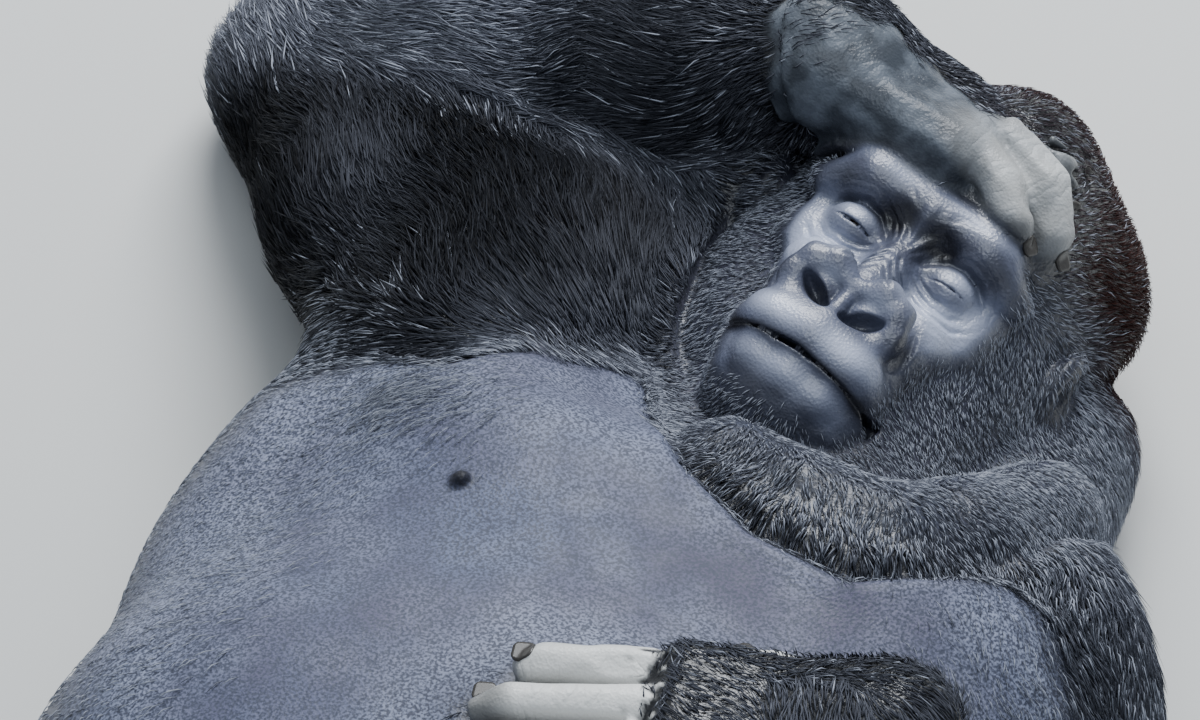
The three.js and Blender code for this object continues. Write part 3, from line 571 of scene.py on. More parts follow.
def face_field(p):
    """Distance in mm from the skin of the head with its folds, gaps and lids."""
    h = head_place(p)
    d = head_forms(h)
    front = step_up(h[..., 2], -45, -30)
    d = d + creases(h) * front
    d = cut(d, lip_gap(h), 1.6)
    d = cut(d, lid_gap(h), 0.9)
    return d


# ------------------------------------------------------------ the whole skin
# outline of the bare skin of the trunk, seen from above: across and up the body in mm,
# and how softly the coat begins there
BARE_TRUNK = [
    (-205, -330, 60), (-300, -200, 50), (-322, -40, 34), (-300, 62, 26), (-236, 92, 14), (-190, 92, 9),
    (-158, 128, 9), (-152, 205, 10), (-134, 236, 12), (-112, 196, 12), (-72, 132, 9), (-26, 76, 6),
    (34, 46, 6), (96, 44, 6), (132, 74, 9), (176, 112, 16), (222, 92, 24), (256, 20, 28),
    (262, -90, 40), (240, -240, 60), (160, -340, 60),
]


def outline_map(corners, step=6):
    """Share inside a closed outline, over a plan of samples in mm."""
    spots = np.array(corners, float)
    low = np.append(spots[:, :2].min(0) - 80, 0)
    plan = Samples(low, np.append(spots[:, :2].max(0) + 80, step), step)
    p = plan.points()[:, :, 0, :2]
    near = np.full(p.shape[:2], 1e6)
    soft = np.ones(p.shape[:2])
    inside = np.zeros(p.shape[:2], bool)
    for a, b in zip(spots, np.roll(spots, -1, 0)):
        run = b[:2] - a[:2]
        t = np.clip((p - a[:2]) @ run / (run @ run), 0, 1)
        gap = np.linalg.norm(p - a[:2] - t[..., None] * run, axis=-1)
        closer = gap < near
        near = np.where(closer, gap, near)
        soft = np.where(closer, a[2] + (b[2] - a[2]) * t, soft)
        crosses = (a[1] > p[..., 1]) != (b[1] > p[..., 1])
        level = (p[..., 1] - a[1]) / (run[1] if run[1] else 1e-9)
        inside ^= crosses & (p[..., 0] < a[0] + run[0] * level)
    share = step_up(np.where(inside, near, -near) / soft, -1, 1)
    plan.data[...] = share[..., None]
    return plan


TRUNK_MAP = outline_map(BARE_TRUNK)


def bare_chest(b):
    """1 on the bare skin of the chest and upper belly, from body places."""
    high = 60 * step_up(b[..., 1], 60, 120)
    return TRUNK_MAP.read(b) * step_up(b[..., 2], 95 - high, 175 - high)


# the way the fingers of each hand point
LEFT_FINGERS = np.array((-0.953, -0.301, 0.02))
RIGHT_FINGERS = np.array((0.86, -0.36, -0.36))
# the way the bare side of the right wrist and hand faces
WRIST_WAY = (0.10, -0.62, 0.78)


def bare_wrist(b):
    """1 on the bare underside of the right wrist and hand, from body places."""
    elbow, wrist = (np.array(JOINTS["right_" + j], float) for j in ("elbow", "wrist"))
    run = (wrist - elbow) / np.linalg.norm(wrist - elbow)
    off = b - wrist
    before, past = np.minimum(off @ run, 0), np.maximum(off @ RIGHT_FINGERS, 0)
    face = off - before[..., None] * run - past[..., None] * RIGHT_FINGERS
    beyond = step_up(past, 4, 30)
    ragged = 7 * waves(b * MM, 38, 41)
    return step_up(before + past, -40, 22) * step_up(face @ np.array(WRIST_WAY) + ragged,
                                                     16 - 16 * beyond, 46 - 22 * beyond)


def bareness(p, s):
    """1 where the skin shows, 0 under full coat."""
    face = bare_face(head_place(p)) * step_up(share_of(s, "head"), 0.3, 0.6)
    trunk = share_of(s, "chest", "belly", "neck")
    chest = bare_chest(body_place(p)) * step_up(trunk, 0.3, 0.7)
    ends = step_up(share_of(s, "digits", "toes") + 0.11 * waves(p, 14, 42), 0.32, 0.7)
    wrist = bare_wrist(body_place(p)) * step_up(
        share_of(s, "right_palm", "right_forearm", "right_digits"), 0.25, 0.5)
    return np.maximum(np.maximum(face, chest), np.maximum(ends, wrist))


def coat_depth(p, s, bare):
    """How far the skin lies inside the solids, in mm."""
    depth = (s @ TRAIT_TABLE[:, TRAITS.index("coat")]) * (1 - bare)
    high = np.asarray(p)[..., 2] / MM
    return depth * (0.12 + 0.88 * step_up(high, 4, 75))


# the fold between throat and chest, across, up and out of the body in mm
THROAT_FOLD = [(-70, 128, 245), (-26, 80, 276), (34, 52, 288), (94, 50, 289), (130, 78, 278),
               (160, 124, 250)]
NIPPLES = ((-131, 0, 288), (150, -52, 288))
# clefts between the fingers of the left hand
CLEFTS = [((50, -120, 384), (-36, -157, 374)), ((52, -148, 388), (-30, -186, 378))]


def trunk_forms(b, trunk):
    """How far folds sink the skin of the trunk and the nipples raise it, in mm."""
    near = np.full(b.shape[:-1], 1e3)
    for start, end in zip(THROAT_FOLD, THROAT_FOLD[1:]):
        near = np.minimum(near, rod(b, start, end, 0, 0))
    fold = 6.5 * np.exp(-(near / 6.5) ** 2) - 2.0 * np.exp(-((near - 17) / 8) ** 2)
    bump = sum(np.exp(-(((b - n) / (5.5, 5.5, 30)) ** 2).sum(-1) ** 2) for n in NIPPLES)
    return (fold - 6.0 * bump) * trunk


def finger_clefts(b, fingers):
    """How far the clefts between the fingers of the left hand sink the skin, in mm."""
    sink = np.zeros(b.shape[:-1])
    for start, end in CLEFTS:
        run = np.subtract(end, start)[:2]
        off = b[..., :2] - np.array(start[:2])
        t = np.clip(off @ run / (run @ run), 0, 1)
        gap = np.linalg.norm(off - t[..., None] * run, axis=-1)
        sink += (4 + 8 * t) * np.exp(-(gap / (2.2 + 1.8 * t)) ** 2)
    return sink * fingers


def skin_field(p):
    """Distance from the skin in metres."""
    p = np.asarray(p)
    s = shares(p)
    fine, broad = np.moveaxis(BODY_FIELD.read(p), -1, 0)
    smooth = s @ TRAIT_TABLE[:, TRAITS.index("smooth")]
    d = fine + (broad - fine) * smooth
    for groups, box in PATCHES.items():
        w = step_up(share_of(s, *groups), 0.35, 0.7)
        near = w > 0
        d[near] += (box.read(p[near]) - d[near]) * w[near]
    w = step_up(share_of(s, "head"), 0.4, 0.8)
    near = w > 0
    d[near] += (face_field(p[near]) * MM - d[near]) * w[near]
    d = d + coat_depth(p, s, bareness(p, s)) * MM
    d = d + trunk_forms(body_place(p), share_of(s, "chest", "neck", "head", "belly")) * MM
    d = d + finger_clefts(body_place(p), step_up(share_of(s, "left_digits"), 0.3, 0.6)) * MM
    h = head_place(p[near])
    ears = np.minimum(ear(h, -1), ear(h, 1)) * MM
    d[near] = join(d[near], ears, 5 * MM)
    # nothing reaches through the floor
    return np.maximum(d, 0.6 * MM - p[..., 2])


def slope(p, here):
    """Gradient of the skin field by small steps."""
    tiny = 0.4 * MM
    out = np.empty(p.shape)
    for axis in range(3):
        move = np.zeros(3)
        move[axis] = tiny
        out[:, axis] = (skin_field(p + move) - here) / tiny
    return out


def settle(points):
    """Moves points onto the skin in three moves; the last two share one slope."""
    farthest = 2.5 * MM
    for fresh_slope in (True, True, False):
        here = skin_field(points)
        if fresh_slope:
            rise = slope(points, here)
            size = np.maximum((rise ** 2).sum(1), 0.25)
        move = -(here / size)[:, None] * rise
        far = np.linalg.norm(move, axis=1)
        points = points + move * np.minimum(1, farthest / np.maximum(far, 1e-9))[:, None]
    return points


def refine(points, faces, wanted):
    """Splits each wanted triangle in four, and its neighbours so that no gap opens."""
    sides = np.sort(np.stack([faces, np.roll(faces, -1, 1)], -1), -1)
    key = sides[..., 0] * len(points) + sides[..., 1]
    unique, back = np.unique(key, return_inverse=True)
    back = back.reshape(key.shape)
    split = np.zeros(len(unique), bool)
    split[back[wanted].ravel()] = True
    number = np.cumsum(split) - 1 + len(points)
    ends = np.stack([unique // len(points), unique % len(points)], 1)[split]
    points = np.concatenate([points, points[ends].mean(1)])
    mid = np.where(split[back], number[back], -1)
    out = [faces[(mid < 0).all(1)]]
    count = (mid >= 0).sum(1)
    for turn in range(3):
        f, m = np.roll(faces, -turn, 1), np.roll(mid, -turn, 1)
        one = (count == 1) & (m[:, 0] >= 0)
        a, b, c, ab = f[one, 0], f[one, 1], f[one, 2], m[one, 0]
        out += [np.stack([a, ab, c], 1), np.stack([ab, b, c], 1)]
        two = (count == 2) & (m[:, 2] < 0)
        a, b, c, ab, bc = f[two, 0], f[two, 1], f[two, 2], m[two, 0], m[two, 1]
        out += [np.stack([a, ab, c], 1), np.stack([ab, b, bc], 1), np.stack([ab, bc, c], 1)]
    full = count == 3
    (a, b, c), (ab, bc, ca) = faces[full].T, mid[full].T
    out += [np.stack(t, 1) for t in ((a, ab, ca), (ab, b, bc), (ca, bc, c), (ab, bc, ca))]
    return points, np.concatenate(out)


def placed(name, data):
    """A new object, linked to the scene."""
    thing = bpy.data.objects.new(name, data)
    bpy.context.scene.collection.objects.link(thing)
    return thing


def paint_points(thing, name, values):
    """Four numbers at every point of a mesh, for its material to read."""
    layer = thing.data.attributes.new(name, "FLOAT_COLOR", "POINT")
    layer.data.foreach_set("color", values.ravel())


def mesh_object(name, points, faces, smooth=True):
    """A mesh of triangles, linked to the scene."""
    mesh = bpy.data.meshes.new(name)
    mesh.vertices.add(len(points))
    mesh.vertices.foreach_set("co", np.asarray(points, np.float32).ravel())
    mesh.loops.add(len(faces) * 3)
    mesh.loops.foreach_set("vertex_index", np.asarray(faces, np.int32).ravel())
    mesh.polygons.add(len(faces))
    mesh.polygons.foreach_set("loop_start", np.arange(0, len(faces) * 3, 3, dtype=np.int32))
    mesh.update(calc_edges=True)
    if smooth:
        mesh.shade_smooth()
    return placed(name, mesh)


def arrays_of(thing):
    """Points and triangles of an object with its modifiers."""
    ready = thing.evaluated_get(bpy.context.evaluated_depsgraph_get())
    mesh = ready.to_mesh()
    mesh.calc_loop_triangles()
    points = np.empty(len(mesh.vertices) * 3, np.float32)
    mesh.vertices.foreach_get("co", points)
    faces = np.empty(len(mesh.loop_triangles) * 3, np.int32)
    mesh.loop_triangles.foreach_get("vertices", faces)
    ready.to_mesh_clear()
    return points.reshape(-1, 3).astype(float), faces.reshape(-1, 3).astype(np.int64)


def doubled(data):
    """Samples at half the step, the new ones halfway between the old."""
    for axis in range(3):
        n = data.shape[axis]
        before = np.take(data, np.arange(n - 1), axis)
        after = np.take(data, np.arange(1, n), axis)
        shape = list(data.shape)
        shape[axis] = 2 * n - 1
        wide = np.empty(shape, np.float32)
        pick = [slice(None)] * 3
        pick[axis] = slice(0, None, 2)
        wide[tuple(pick)] = data
        pick[axis] = slice(1, None, 2)
        wide[tuple(pick)] = (before + after) / 2
        data = wide
    return data


SKIN_SHARE = 0.22          # share of the skin's triangles that are kept
NEAR_SKIN = 2.2 * BODY_STEP    # samples nearer than this are worked out, the rest are filled in


def whole_skin():
    """Points and triangles of the skin at one even size."""
    step = BODY_STEP / 2
    coarse = BODY_FIELD.points()
    fine = doubled(skin_field(coarse.reshape(-1, 3)).reshape(coarse.shape[:3]))
    near = np.argwhere(np.abs(fine) < NEAR_SKIN)
    fine[near[:, 0], near[:, 1], near[:, 2]] = skin_field(BODY_FIELD.low + near * step)
    points, tris, quads = polygons(fine, BODY_FIELD.low, step)
    return points, np.concatenate([tris, quads[:, [0, 1, 2]], quads[:, [0, 2, 3]]])


def thinned(points, faces):
    """The skin with fewer triangles, except on the face, the hands and the toes."""
    draft = mesh_object("draft_skin", points, faces)
    s = shares(points)
    face = bare_face(head_place(points)) * step_up(share_of(s, "head"), 0.4, 0.7)
    ends = step_up(share_of(s, "palm", "digits", "toes"), 0.3, 0.6)
    hold = np.round(np.maximum(face, ends), 1)
    group = draft.vertex_groups.new(name="hold")
    for level in np.unique(hold):
        group.add(np.flatnonzero(hold == level).tolist(), float(level), "REPLACE")
    fewer = draft.modifiers.new("fewer", "DECIMATE")
    fewer.ratio = SKIN_SHARE
    fewer.vertex_group = "hold"
    fewer.invert_vertex_group = True
    points, faces = arrays_of(draft)
    bpy.data.objects.remove(draft)
    return points, faces


def by_nipple(p, radius):
    """True within a radius in mm of a nipple, seen from above."""
    b = body_place(p)
    return np.any([np.linalg.norm((b - n)[:, :2], axis=1) < radius for n in NIPPLES], 0)


def skin_mesh_data():
    """Points and triangles of the skin, finer on the digits, the nipples and the face."""
    points, faces = thinned(*whole_skin())
    mid = points[faces].mean(1)
    points, faces = refine(points, faces, (share_of(shares(mid), "digits") > 0.5) | by_nipple(mid, 16))
    move = (share_of(shares(points), "digits") > 0.45) | by_nipple(points, 20) & (points[:, 2] > 0.2)
    points[move] = settle(points[move])
    # the whole face once, then the nose, the lips and the eyes once more
    for detail, least in ((False, 0.03), (True, 0.6)):
        h = head_place(points[faces].mean(1))
        near = bare_face(h) * (h[..., 2] > -30) > least
        if detail:
            a, up, out = np.abs(h[:, 0]), h[:, 1], h[:, 2]
            nose_and_lips = (out > 18) & (up < -30) & (up > -112)
            eyes = (a < 58) & (np.abs(up - 2) < 26)
            near &= nose_and_lips | eyes
        points, faces = refine(points, faces, near)
        h = head_place(points)
        move = bare_face(h) * (h[..., 2] > -34) > 0.0
        points[move] = settle(points[move])
    return points, faces


# ------------------------------------------------------------ joints and the lie of the coat
JOINTS = {
    "right_shoulder": (-196, 140, 152), "right_elbow": (-452, 360, 67), "right_wrist": (-114, 421, 225),
    "left_shoulder": (181, 89, 154), "left_elbow": (372, -165, 70), "left_wrist": (187, -94, 368),
}
for side, s in (("right", -1), ("left", 1)):
    JOINTS[side + "_hip"] = (118 * s, -500, 128)
    JOINTS[side + "_knee"] = (358 * s, -762, 222)
    JOINTS[side + "_ankle"] = (236 * s, -1024, 68)
    JOINTS[side + "_toe"] = (236 * s, -1180, 150)


def way(start, end):
    """Direction from one joint to another."""
    v = np.subtract(JOINTS[end], JOINTS[start]).astype(float)
    return v / np.linalg.norm(v)


def flow_table():
    """The way the coat lies on each group, before it is laid on the skin."""
    rows = {"head": (0, 0, 0), "neck": (0, -1, -0.3), "chest": (0, -1, -0.5), "belly": (0, -1, -0.5),
            "pelvis": (0, -1, -0.4)}
    for side in ("right", "left"):
        rows[side + "_upper_arm"] = way(side + "_shoulder", side + "_elbow")
        rows[side + "_forearm"] = way(side + "_wrist", side + "_elbow")
        rows[side + "_palm"] = rows[side + "_digits"] = way(side + "_elbow", side + "_wrist")
        rows[side + "_thigh"] = way(side + "_hip", side + "_knee")
        rows[side + "_shank"] = way(side + "_knee", side + "_ankle")
        rows[side + "_foot"] = rows[side + "_toes"] = way(side + "_ankle", side + "_toe")
    return np.array([rows[g] for g in GROUP_NAMES], float)


FLOWS = flow_table()


def head_flow(p):
    """Hair runs back over the crown, and down and away from the face on the cheeks."""
    h = head_place(p)
    a, up, out = h[:, 0], h[:, 1], h[:, 2]
    crown = step_up(up, 5, 55)
    behind = 1 - step_up(out, -175, -95)
    across = 0.62 * np.tanh(a / 25) * (1 - crown)
    rise = -0.75 * (1 - crown) + crown * (0.55 - 1.6 * behind)
    back = -0.45 * (1 - crown) - 0.85 * crown
    return np.stack([across, rise, back], 1) @ HEAD_AXES


def waves(p, size, seed, count=6):
    """Smooth noise between about -1 and 1, size in mm from crest to crest."""
    rng = np.random.default_rng(seed)
    turn = rng.normal(size=(count, 3))
    turn *= (2 * math.pi / (size * MM)) / np.linalg.norm(turn, axis=1, keepdims=True)
    turn *= rng.uniform(0.6, 1.5, (count, 1))
    return np.sin(p @ turn.T + rng.uniform(0, 6.28, count)).sum(1) / math.sqrt(count)


def laid(v, normal):
    """Directions laid flat on a surface."""
    v = v - (v * normal).sum(1, keepdims=True) * normal
    return v / np.maximum(np.linalg.norm(v, axis=1, keepdims=True), 1e-9)


def coat_flow(p, s, normal):
    """The way the coat lies on the skin at points with shares s."""
    flow = s @ FLOWS
    flow += head_flow(p) * share_of(s, "head")[:, None]
    trunk = share_of(s, "chest", "belly", "pelvis")
    b = body_place(p)
    flow[:, 0] += trunk * 0.5 * np.tanh(b[:, 0] / 120)
    flow = laid(flow, normal)
    side = np.cross(normal, flow)
    swing = 0.28 * waves(p, 95, 11) + 0.22 * waves(p, 33, 12)
    return laid(flow + side * swing[:, None], normal)


# ------------------------------------------------------------ tufts
def ear_place(h):
    """1 on the ears, from head places."""
    a = (np.abs(h[:, 0]) - 112) / 15
    up, out = (h[:, 1] - 9) / 24, (h[:, 2] + 78) / 17
    return np.exp(-(a ** 2 + up ** 2 + out ** 2) ** 2)


def head_traits(c, h, head, p):
    """Short and grizzled on the cheeks, darker on the chin, red-brown on the crown."""
    near_face = step_up(h[:, 2], -110, -35) * head
    crown = head * step_up(h[:, 1] - 0.25 * h[:, 2], 40, 95)
    chin = near_face * (1 - step_up(h[:, 1], -150, -110))
    c["length"] *= 1 - 0.45 * near_face
    c["width"] *= 1 - 0.2 * near_face
    c["brown"] = crown
    c["tone"] *= 1 - 0.5 * crown
    c["grey"] = c["grey"] * (1 - crown) + 0.04 * crown + 0.25 * near_face * (1 - crown)
    c["grey"] *= (1 - 0.5 * chin) * (1 + 0.22 * waves(p, 70, 22))
    c["cover"] *= 1 - 0.95 * ear_place(h) * head


def arm_traits(c, s, b, p):
    """A painted grey sheen round the right elbow and on the left shoulder; the right upper arm painted
    black as shade, and the rest of the right forearm darker as painted shade.
    """
    upper, fore = share_of(s, "right_upper_arm"), share_of(s, "right_forearm")
    lit_above_elbow = upper * step_up(b[:, 1], 270, 370)
    lit_below_elbow = fore * step_up(-b[:, 0], 225, 330)
    left = share_of(s, "left_upper_arm")
    left_chest = share_of(s, "chest") * (b[:, 0] > 60)
    # painted light: lighter hair round the right elbow and on the left shoulder; painted shade: darker
    # hair on the right forearm away from the elbow
    c["tone"] += 1.6 * lit_above_elbow + 0.8 * left + 0.12 * waves(p, 140, 21)
    c["tone"] += 0.5 * lit_below_elbow - 0.6 * (fore - lit_below_elbow)
    # no silver on the right upper arm, kept black as painted shade; silver tufts round the elbow and on
    # the left shoulder as painted sheen
    c["grey"] *= 1 - np.clip(1.7 * upper, 0, 1)
    c["grey"] += 0.34 * (lit_above_elbow + lit_below_elbow) + 0.15 * (left + left_chest)


def trunk_traits(c, s, b, bare):
    """Silver in the armpit and along the flanks, short and sparse where the trunk is bare."""
    trunk = share_of(s, "chest", "belly", "neck")
    pit = np.exp(-(((b[:, 0] + 190) / 42) ** 2 + ((b[:, 1] - 62) / 30) ** 2))
    pit *= step_up(b[:, 2], 120, 200) * trunk
    flank = share_of(s, "chest", "belly") * step_up(np.abs(b[:, 0]), 190, 265)
    flank *= step_up(b[:, 2], 40, 110)
    thin = trunk * bare
    sparse = thin * (0.3 * step_up(np.abs(b[:, 0] + 20), 130, 270) + 0.6 * pit)
    c["length"] *= 1 - 0.5 * flank * step_up(b[:, 2], 60, 150) - 0.3 * thin * (1 - pit)
    c["width"] *= 1 - 0.5 * thin
    c["tone"] += (1.4 - c["tone"]) * thin
    grey = np.maximum(c["grey"], np.maximum(0.95 * pit, 0.75 * flank))
    c["grey"] = grey * (1 - thin) + thin * np.maximum(0.75, pit)
    c["cover"] = np.maximum(c["cover"] * np.clip(1 - bare, 0, 1) ** 1.5, sparse)


def coat_traits(p, s):
    """The coat at points with shares s: an array for each name in TRAITS."""
    t = (s @ TRAIT_TABLE).astype(float)
    c = {name: t[:, n] for n, name in enumerate(TRAITS)}
    h, b = head_place(p), body_place(p)
    head_traits(c, h, share_of(s, "head"), p)
    arm_traits(c, s, b, p)
    trunk_traits(c, s, b, bareness(p, s))
    return c


def skin_normals(points, faces):
    """Smooth normals at the points of a mesh."""
    a, b, c = points[faces[:, 0]], points[faces[:, 1]], points[faces[:, 2]]
    flat = np.cross(b - a, c - a)
    out = np.zeros_like(points)
    for k in range(3):
        for axis in range(3):
            out[:, axis] += np.bincount(faces[:, k], flat[:, axis], len(points))
    return out / np.maximum(np.linalg.norm(out, axis=1, keepdims=True), 1e-12)


def chart_places(p, normal):
    """Places on six charts of the skin, one for each way that it faces, side by side."""
    axis = np.abs(normal).argmax(1)
    chart = axis * 2 + (normal[np.arange(len(p)), axis] > 0)
    u = np.where(axis == 0, p[:, 1], p[:, 0])
    v = np.where(axis == 2, p[:, 1], p[:, 2])
    low_u, low_v = u.min(), v.min()
    size = max(np.ptp(u), np.ptp(v)) * 1.02
    column, row = chart % 3, chart // 3
    return np.stack([(column + (u - low_u) / size) / 3, (row + (v - low_v) / size) / 2], 1)


# how far tufts differ: shares of their length, width and lift, and sideways turns of the
# lower and the upper half
LENGTHS, WIDTHS, LIFTS = (0.62, 1.2), (0.7, 1.25), (0.55, 1.35)
AIM_TURN, BEND_TURN = 0.12, 0.16
LOWER, UPPER = 0.42, 0.58  # shares of its length below and above the bend, where it is thickest
PULLS = (0.15, 0.5)        # how far the tips of one lock draw together
# section of a tuft at its thickest, in widths, and the size of its patch of the map
RING = np.array([(0.5, -0.18), (-0.5, -0.18), (0.0, 0.36)])
# a tuft's points are its root, the ring and its tip
TUFT_FACES = np.array([(0, 2, 1), (0, 3, 2), (0, 1, 3), (4, 1, 2), (4, 2, 3), (4, 3, 1)])
PATCH = 0.003
LOCK = 11                  # size of a lock of tufts, in mm
BURIED = 1.2 * MM          # depth of a tuft's root under the skin
BOX_GAP = 0.4 * MM         # tufts keep this far inside the solids' box


def in_locks(root, tip):
    """Middle of the tips of each tuft's lock."""
    cell = np.floor(root / (LOCK * MM)).astype(np.int64)
    key = (cell[:, 0] * 4001 + cell[:, 1]) * 4001 + cell[:, 2]
    _, lock, size = np.unique(key, return_inverse=True, return_counts=True)
    return np.stack([np.bincount(lock, tip[:, k]) / size for k in range(3)], 1)[lock]


def tuft_points(root, normal, flow, c, rng, scale):
    """Five points of each tuft: a closed, bent spindle that lies along the skin."""
    n = len(root)
    side = np.cross(normal, flow)
    length = c["length"] * MM * rng.uniform(*LENGTHS, n) * scale.coat_length
    width = c["width"] * MM * rng.uniform(*WIDTHS, n) * scale.tuft_width
    lift = c["lift"] * rng.uniform(*LIFTS, n)
    aim = rng.normal(0, AIM_TURN, n)
    start = flow + side * aim[:, None] + normal * (lift * 1.25)[:, None]
    start /= np.linalg.norm(start, axis=1, keepdims=True)
    bend = flow + side * (aim + rng.normal(0, BEND_TURN, n))[:, None] + normal * (lift * 0.15)[:, None]
    bend /= np.linalg.norm(bend, axis=1, keepdims=True)
    mid = root + start * (LOWER * length)[:, None]
    tip = mid + bend * (UPPER * length)[:, None]
    centre = in_locks(root, tip)
    pull = rng.uniform(*PULLS, n)[:, None]
    tip = tip + (centre - tip) * pull
    mid = mid + (centre - tip) * pull * 0.15
    base = root - normal * BURIED
    run = tip - base
    run /= np.linalg.norm(run, axis=1, keepdims=True)
    across = np.cross(normal, run)
    across /= np.maximum(np.linalg.norm(across, axis=1, keepdims=True), 1e-9)
    over = np.cross(run, across)
    ring = [mid + across * (x * width)[:, None] + over * (y * width)[:, None] for x, y in RING]
    points = np.stack([base, *ring, tip], 1)
    low, high = np.array(CAD_BOX[0]) + BOX_GAP, np.array(CAD_BOX[1]) - BOX_GAP
    points[..., 2] = squeeze(points[..., 2])
    return np.clip(points, low, high)


def tuft_mesh(name, root, normal, flow, c, rng, scale):
    """One piece of coat: its tufts in one mesh, with their map and their colours."""
    n = len(root)
    points = tuft_points(root, normal, flow, c, rng, scale)
    faces = (np.arange(n)[:, None, None] * 5 + TUFT_FACES).reshape(-1, 3)
    thing = mesh_object(name, points.reshape(-1, 3), faces)
    spread = np.array([(0, 0), (0.5, 0.45), (-0.5, 0.45), (0, 0.55), (0, 1)]) * PATCH
    uv = (chart_places(root, normal)[:, None] + spread).reshape(-1, 2)[faces.ravel()]
    layer = thing.data.uv_layers.new(name="OFBake", do_init=False)
    layer.uv.foreach_set("vector", uv.astype(np.float32).ravel())
    # place along the shaft, tone, silver and red-brown; on the arms tone and silver also carry painted
    # light and shade
    paint = np.empty((n, 5, 4), np.float32)
    paint[..., 0] = (0, LOWER, LOWER, LOWER, 1)
    paint[..., 1] = np.clip(rng.uniform(-0.16, 0.16, n) + c["tone"], 0, 1.5)[:, None] / 1.5
    paint[..., 2] = (rng.uniform(0, 1, n) < c["grey"])[:, None] * rng.uniform(0.5, 1, n)[:, None]
    paint[..., 3] = c["brown"][:, None]
    paint_points(thing, "coat", paint)
    return thing


def squeeze(z):
    """Heights pressed up against the floor instead of passing through it."""
    soft = 6 * MM
    return np.where(z < soft, soft * np.exp(np.minimum(z - soft, 0) / soft) * 0.9 + soft * 0.1, z)


# ------------------------------------------------------------ finishes
def linear(hex_colour):
    """sRGB hex to linear colour."""
    parts = [int(hex_colour[k:k + 2], 16) / 255 for k in (1, 3, 5)]
    return [c / 12.92 if c <= 0.04045 else ((c + 0.055) / 1.055) ** 2.4 for c in parts] + [1.0]


def new_material(name, settings):
    """A material of one shader, with the shader's own sockets set."""
    material = bpy.data.materials.new(name)
    material.use_nodes = True
    shader = material.node_tree.nodes["Principled BSDF"]
    for socket, value in settings.items():
        shader.inputs[socket].default_value = value
    return material, material.node_tree, shader


def node(tree, kind, **settings):
    """Adds a node with its settings and links: a property, a socket by name, or _N for socket N."""
    made = tree.nodes.new(kind)
    for name, value in settings.items():
        if name[0] != "_" and hasattr(made, name):
            setattr(made, name, value)
            continue
        socket = made.inputs[int(name[1:]) if name[0] == "_" else name]
        if isinstance(value, bpy.types.NodeSocket):
            tree.links.new(value, socket)
        else:
            socket.default_value = value
    return made


def per_metre(size):
    """Scale of a pattern whose spots are a size in mm apart."""
    return 1 / (size * MM)


def hair_finish(look):
    """Ape hair: dark, smooth, slightly oily shafts.

    The shafts darken to the root, painted shade that makes the coat look deep, and their fuzz catches a
    faint cool bloom.
    """
    material, tree, shader = new_material("gorilla_hair", {
        "Roughness": 0.6, "Specular IOR Level": 0.1, "Sheen Weight": 0.02, "Sheen Roughness": 0.4,
        "Sheen Tint": tuple(look.hair_bloom)})
    coat = node(tree, "ShaderNodeAttribute", attribute_name="coat")
    run, tone, grey = node(tree, "ShaderNodeSeparateColor", _0=coat.outputs["Color"]).outputs
    late = node(tree, "ShaderNodeMath", operation="MULTIPLY", _0=run, _1=tone).outputs[0]
    early = node(tree, "ShaderNodeMapRange", _0=run, _1=0.0, _2=0.55).outputs[0]
    # tone mixes the darkest hair to the palest; on the arms low tone is painted shade and high tone
    # painted light
    dark = node(tree, "ShaderNodeMix", data_type="RGBA", _0=tone, _6=look.hair_root, _7=look.hair_dark)
    dark = node(tree, "ShaderNodeMix", data_type="RGBA", _0=late, _6=dark.outputs[2], _7=look.hair_tip)
    warm = node(tree, "ShaderNodeMix", data_type="RGBA", _0=tone, _6=look.crown_root, _7=look.crown_tip)
    dark = node(tree, "ShaderNodeMix", data_type="RGBA", _0=coat.outputs["Alpha"], _6=dark.outputs[2],
                _7=warm.outputs[2])
    pale = node(tree, "ShaderNodeMath", operation="MULTIPLY", _0=early, _1=grey)
    colour = node(tree, "ShaderNodeMix", data_type="RGBA", _0=pale.outputs[0], _6=dark.outputs[2],
                  _7=look.hair_silver)
    tree.links.new(colour.outputs[2], shader.inputs["Base Color"])
    return material


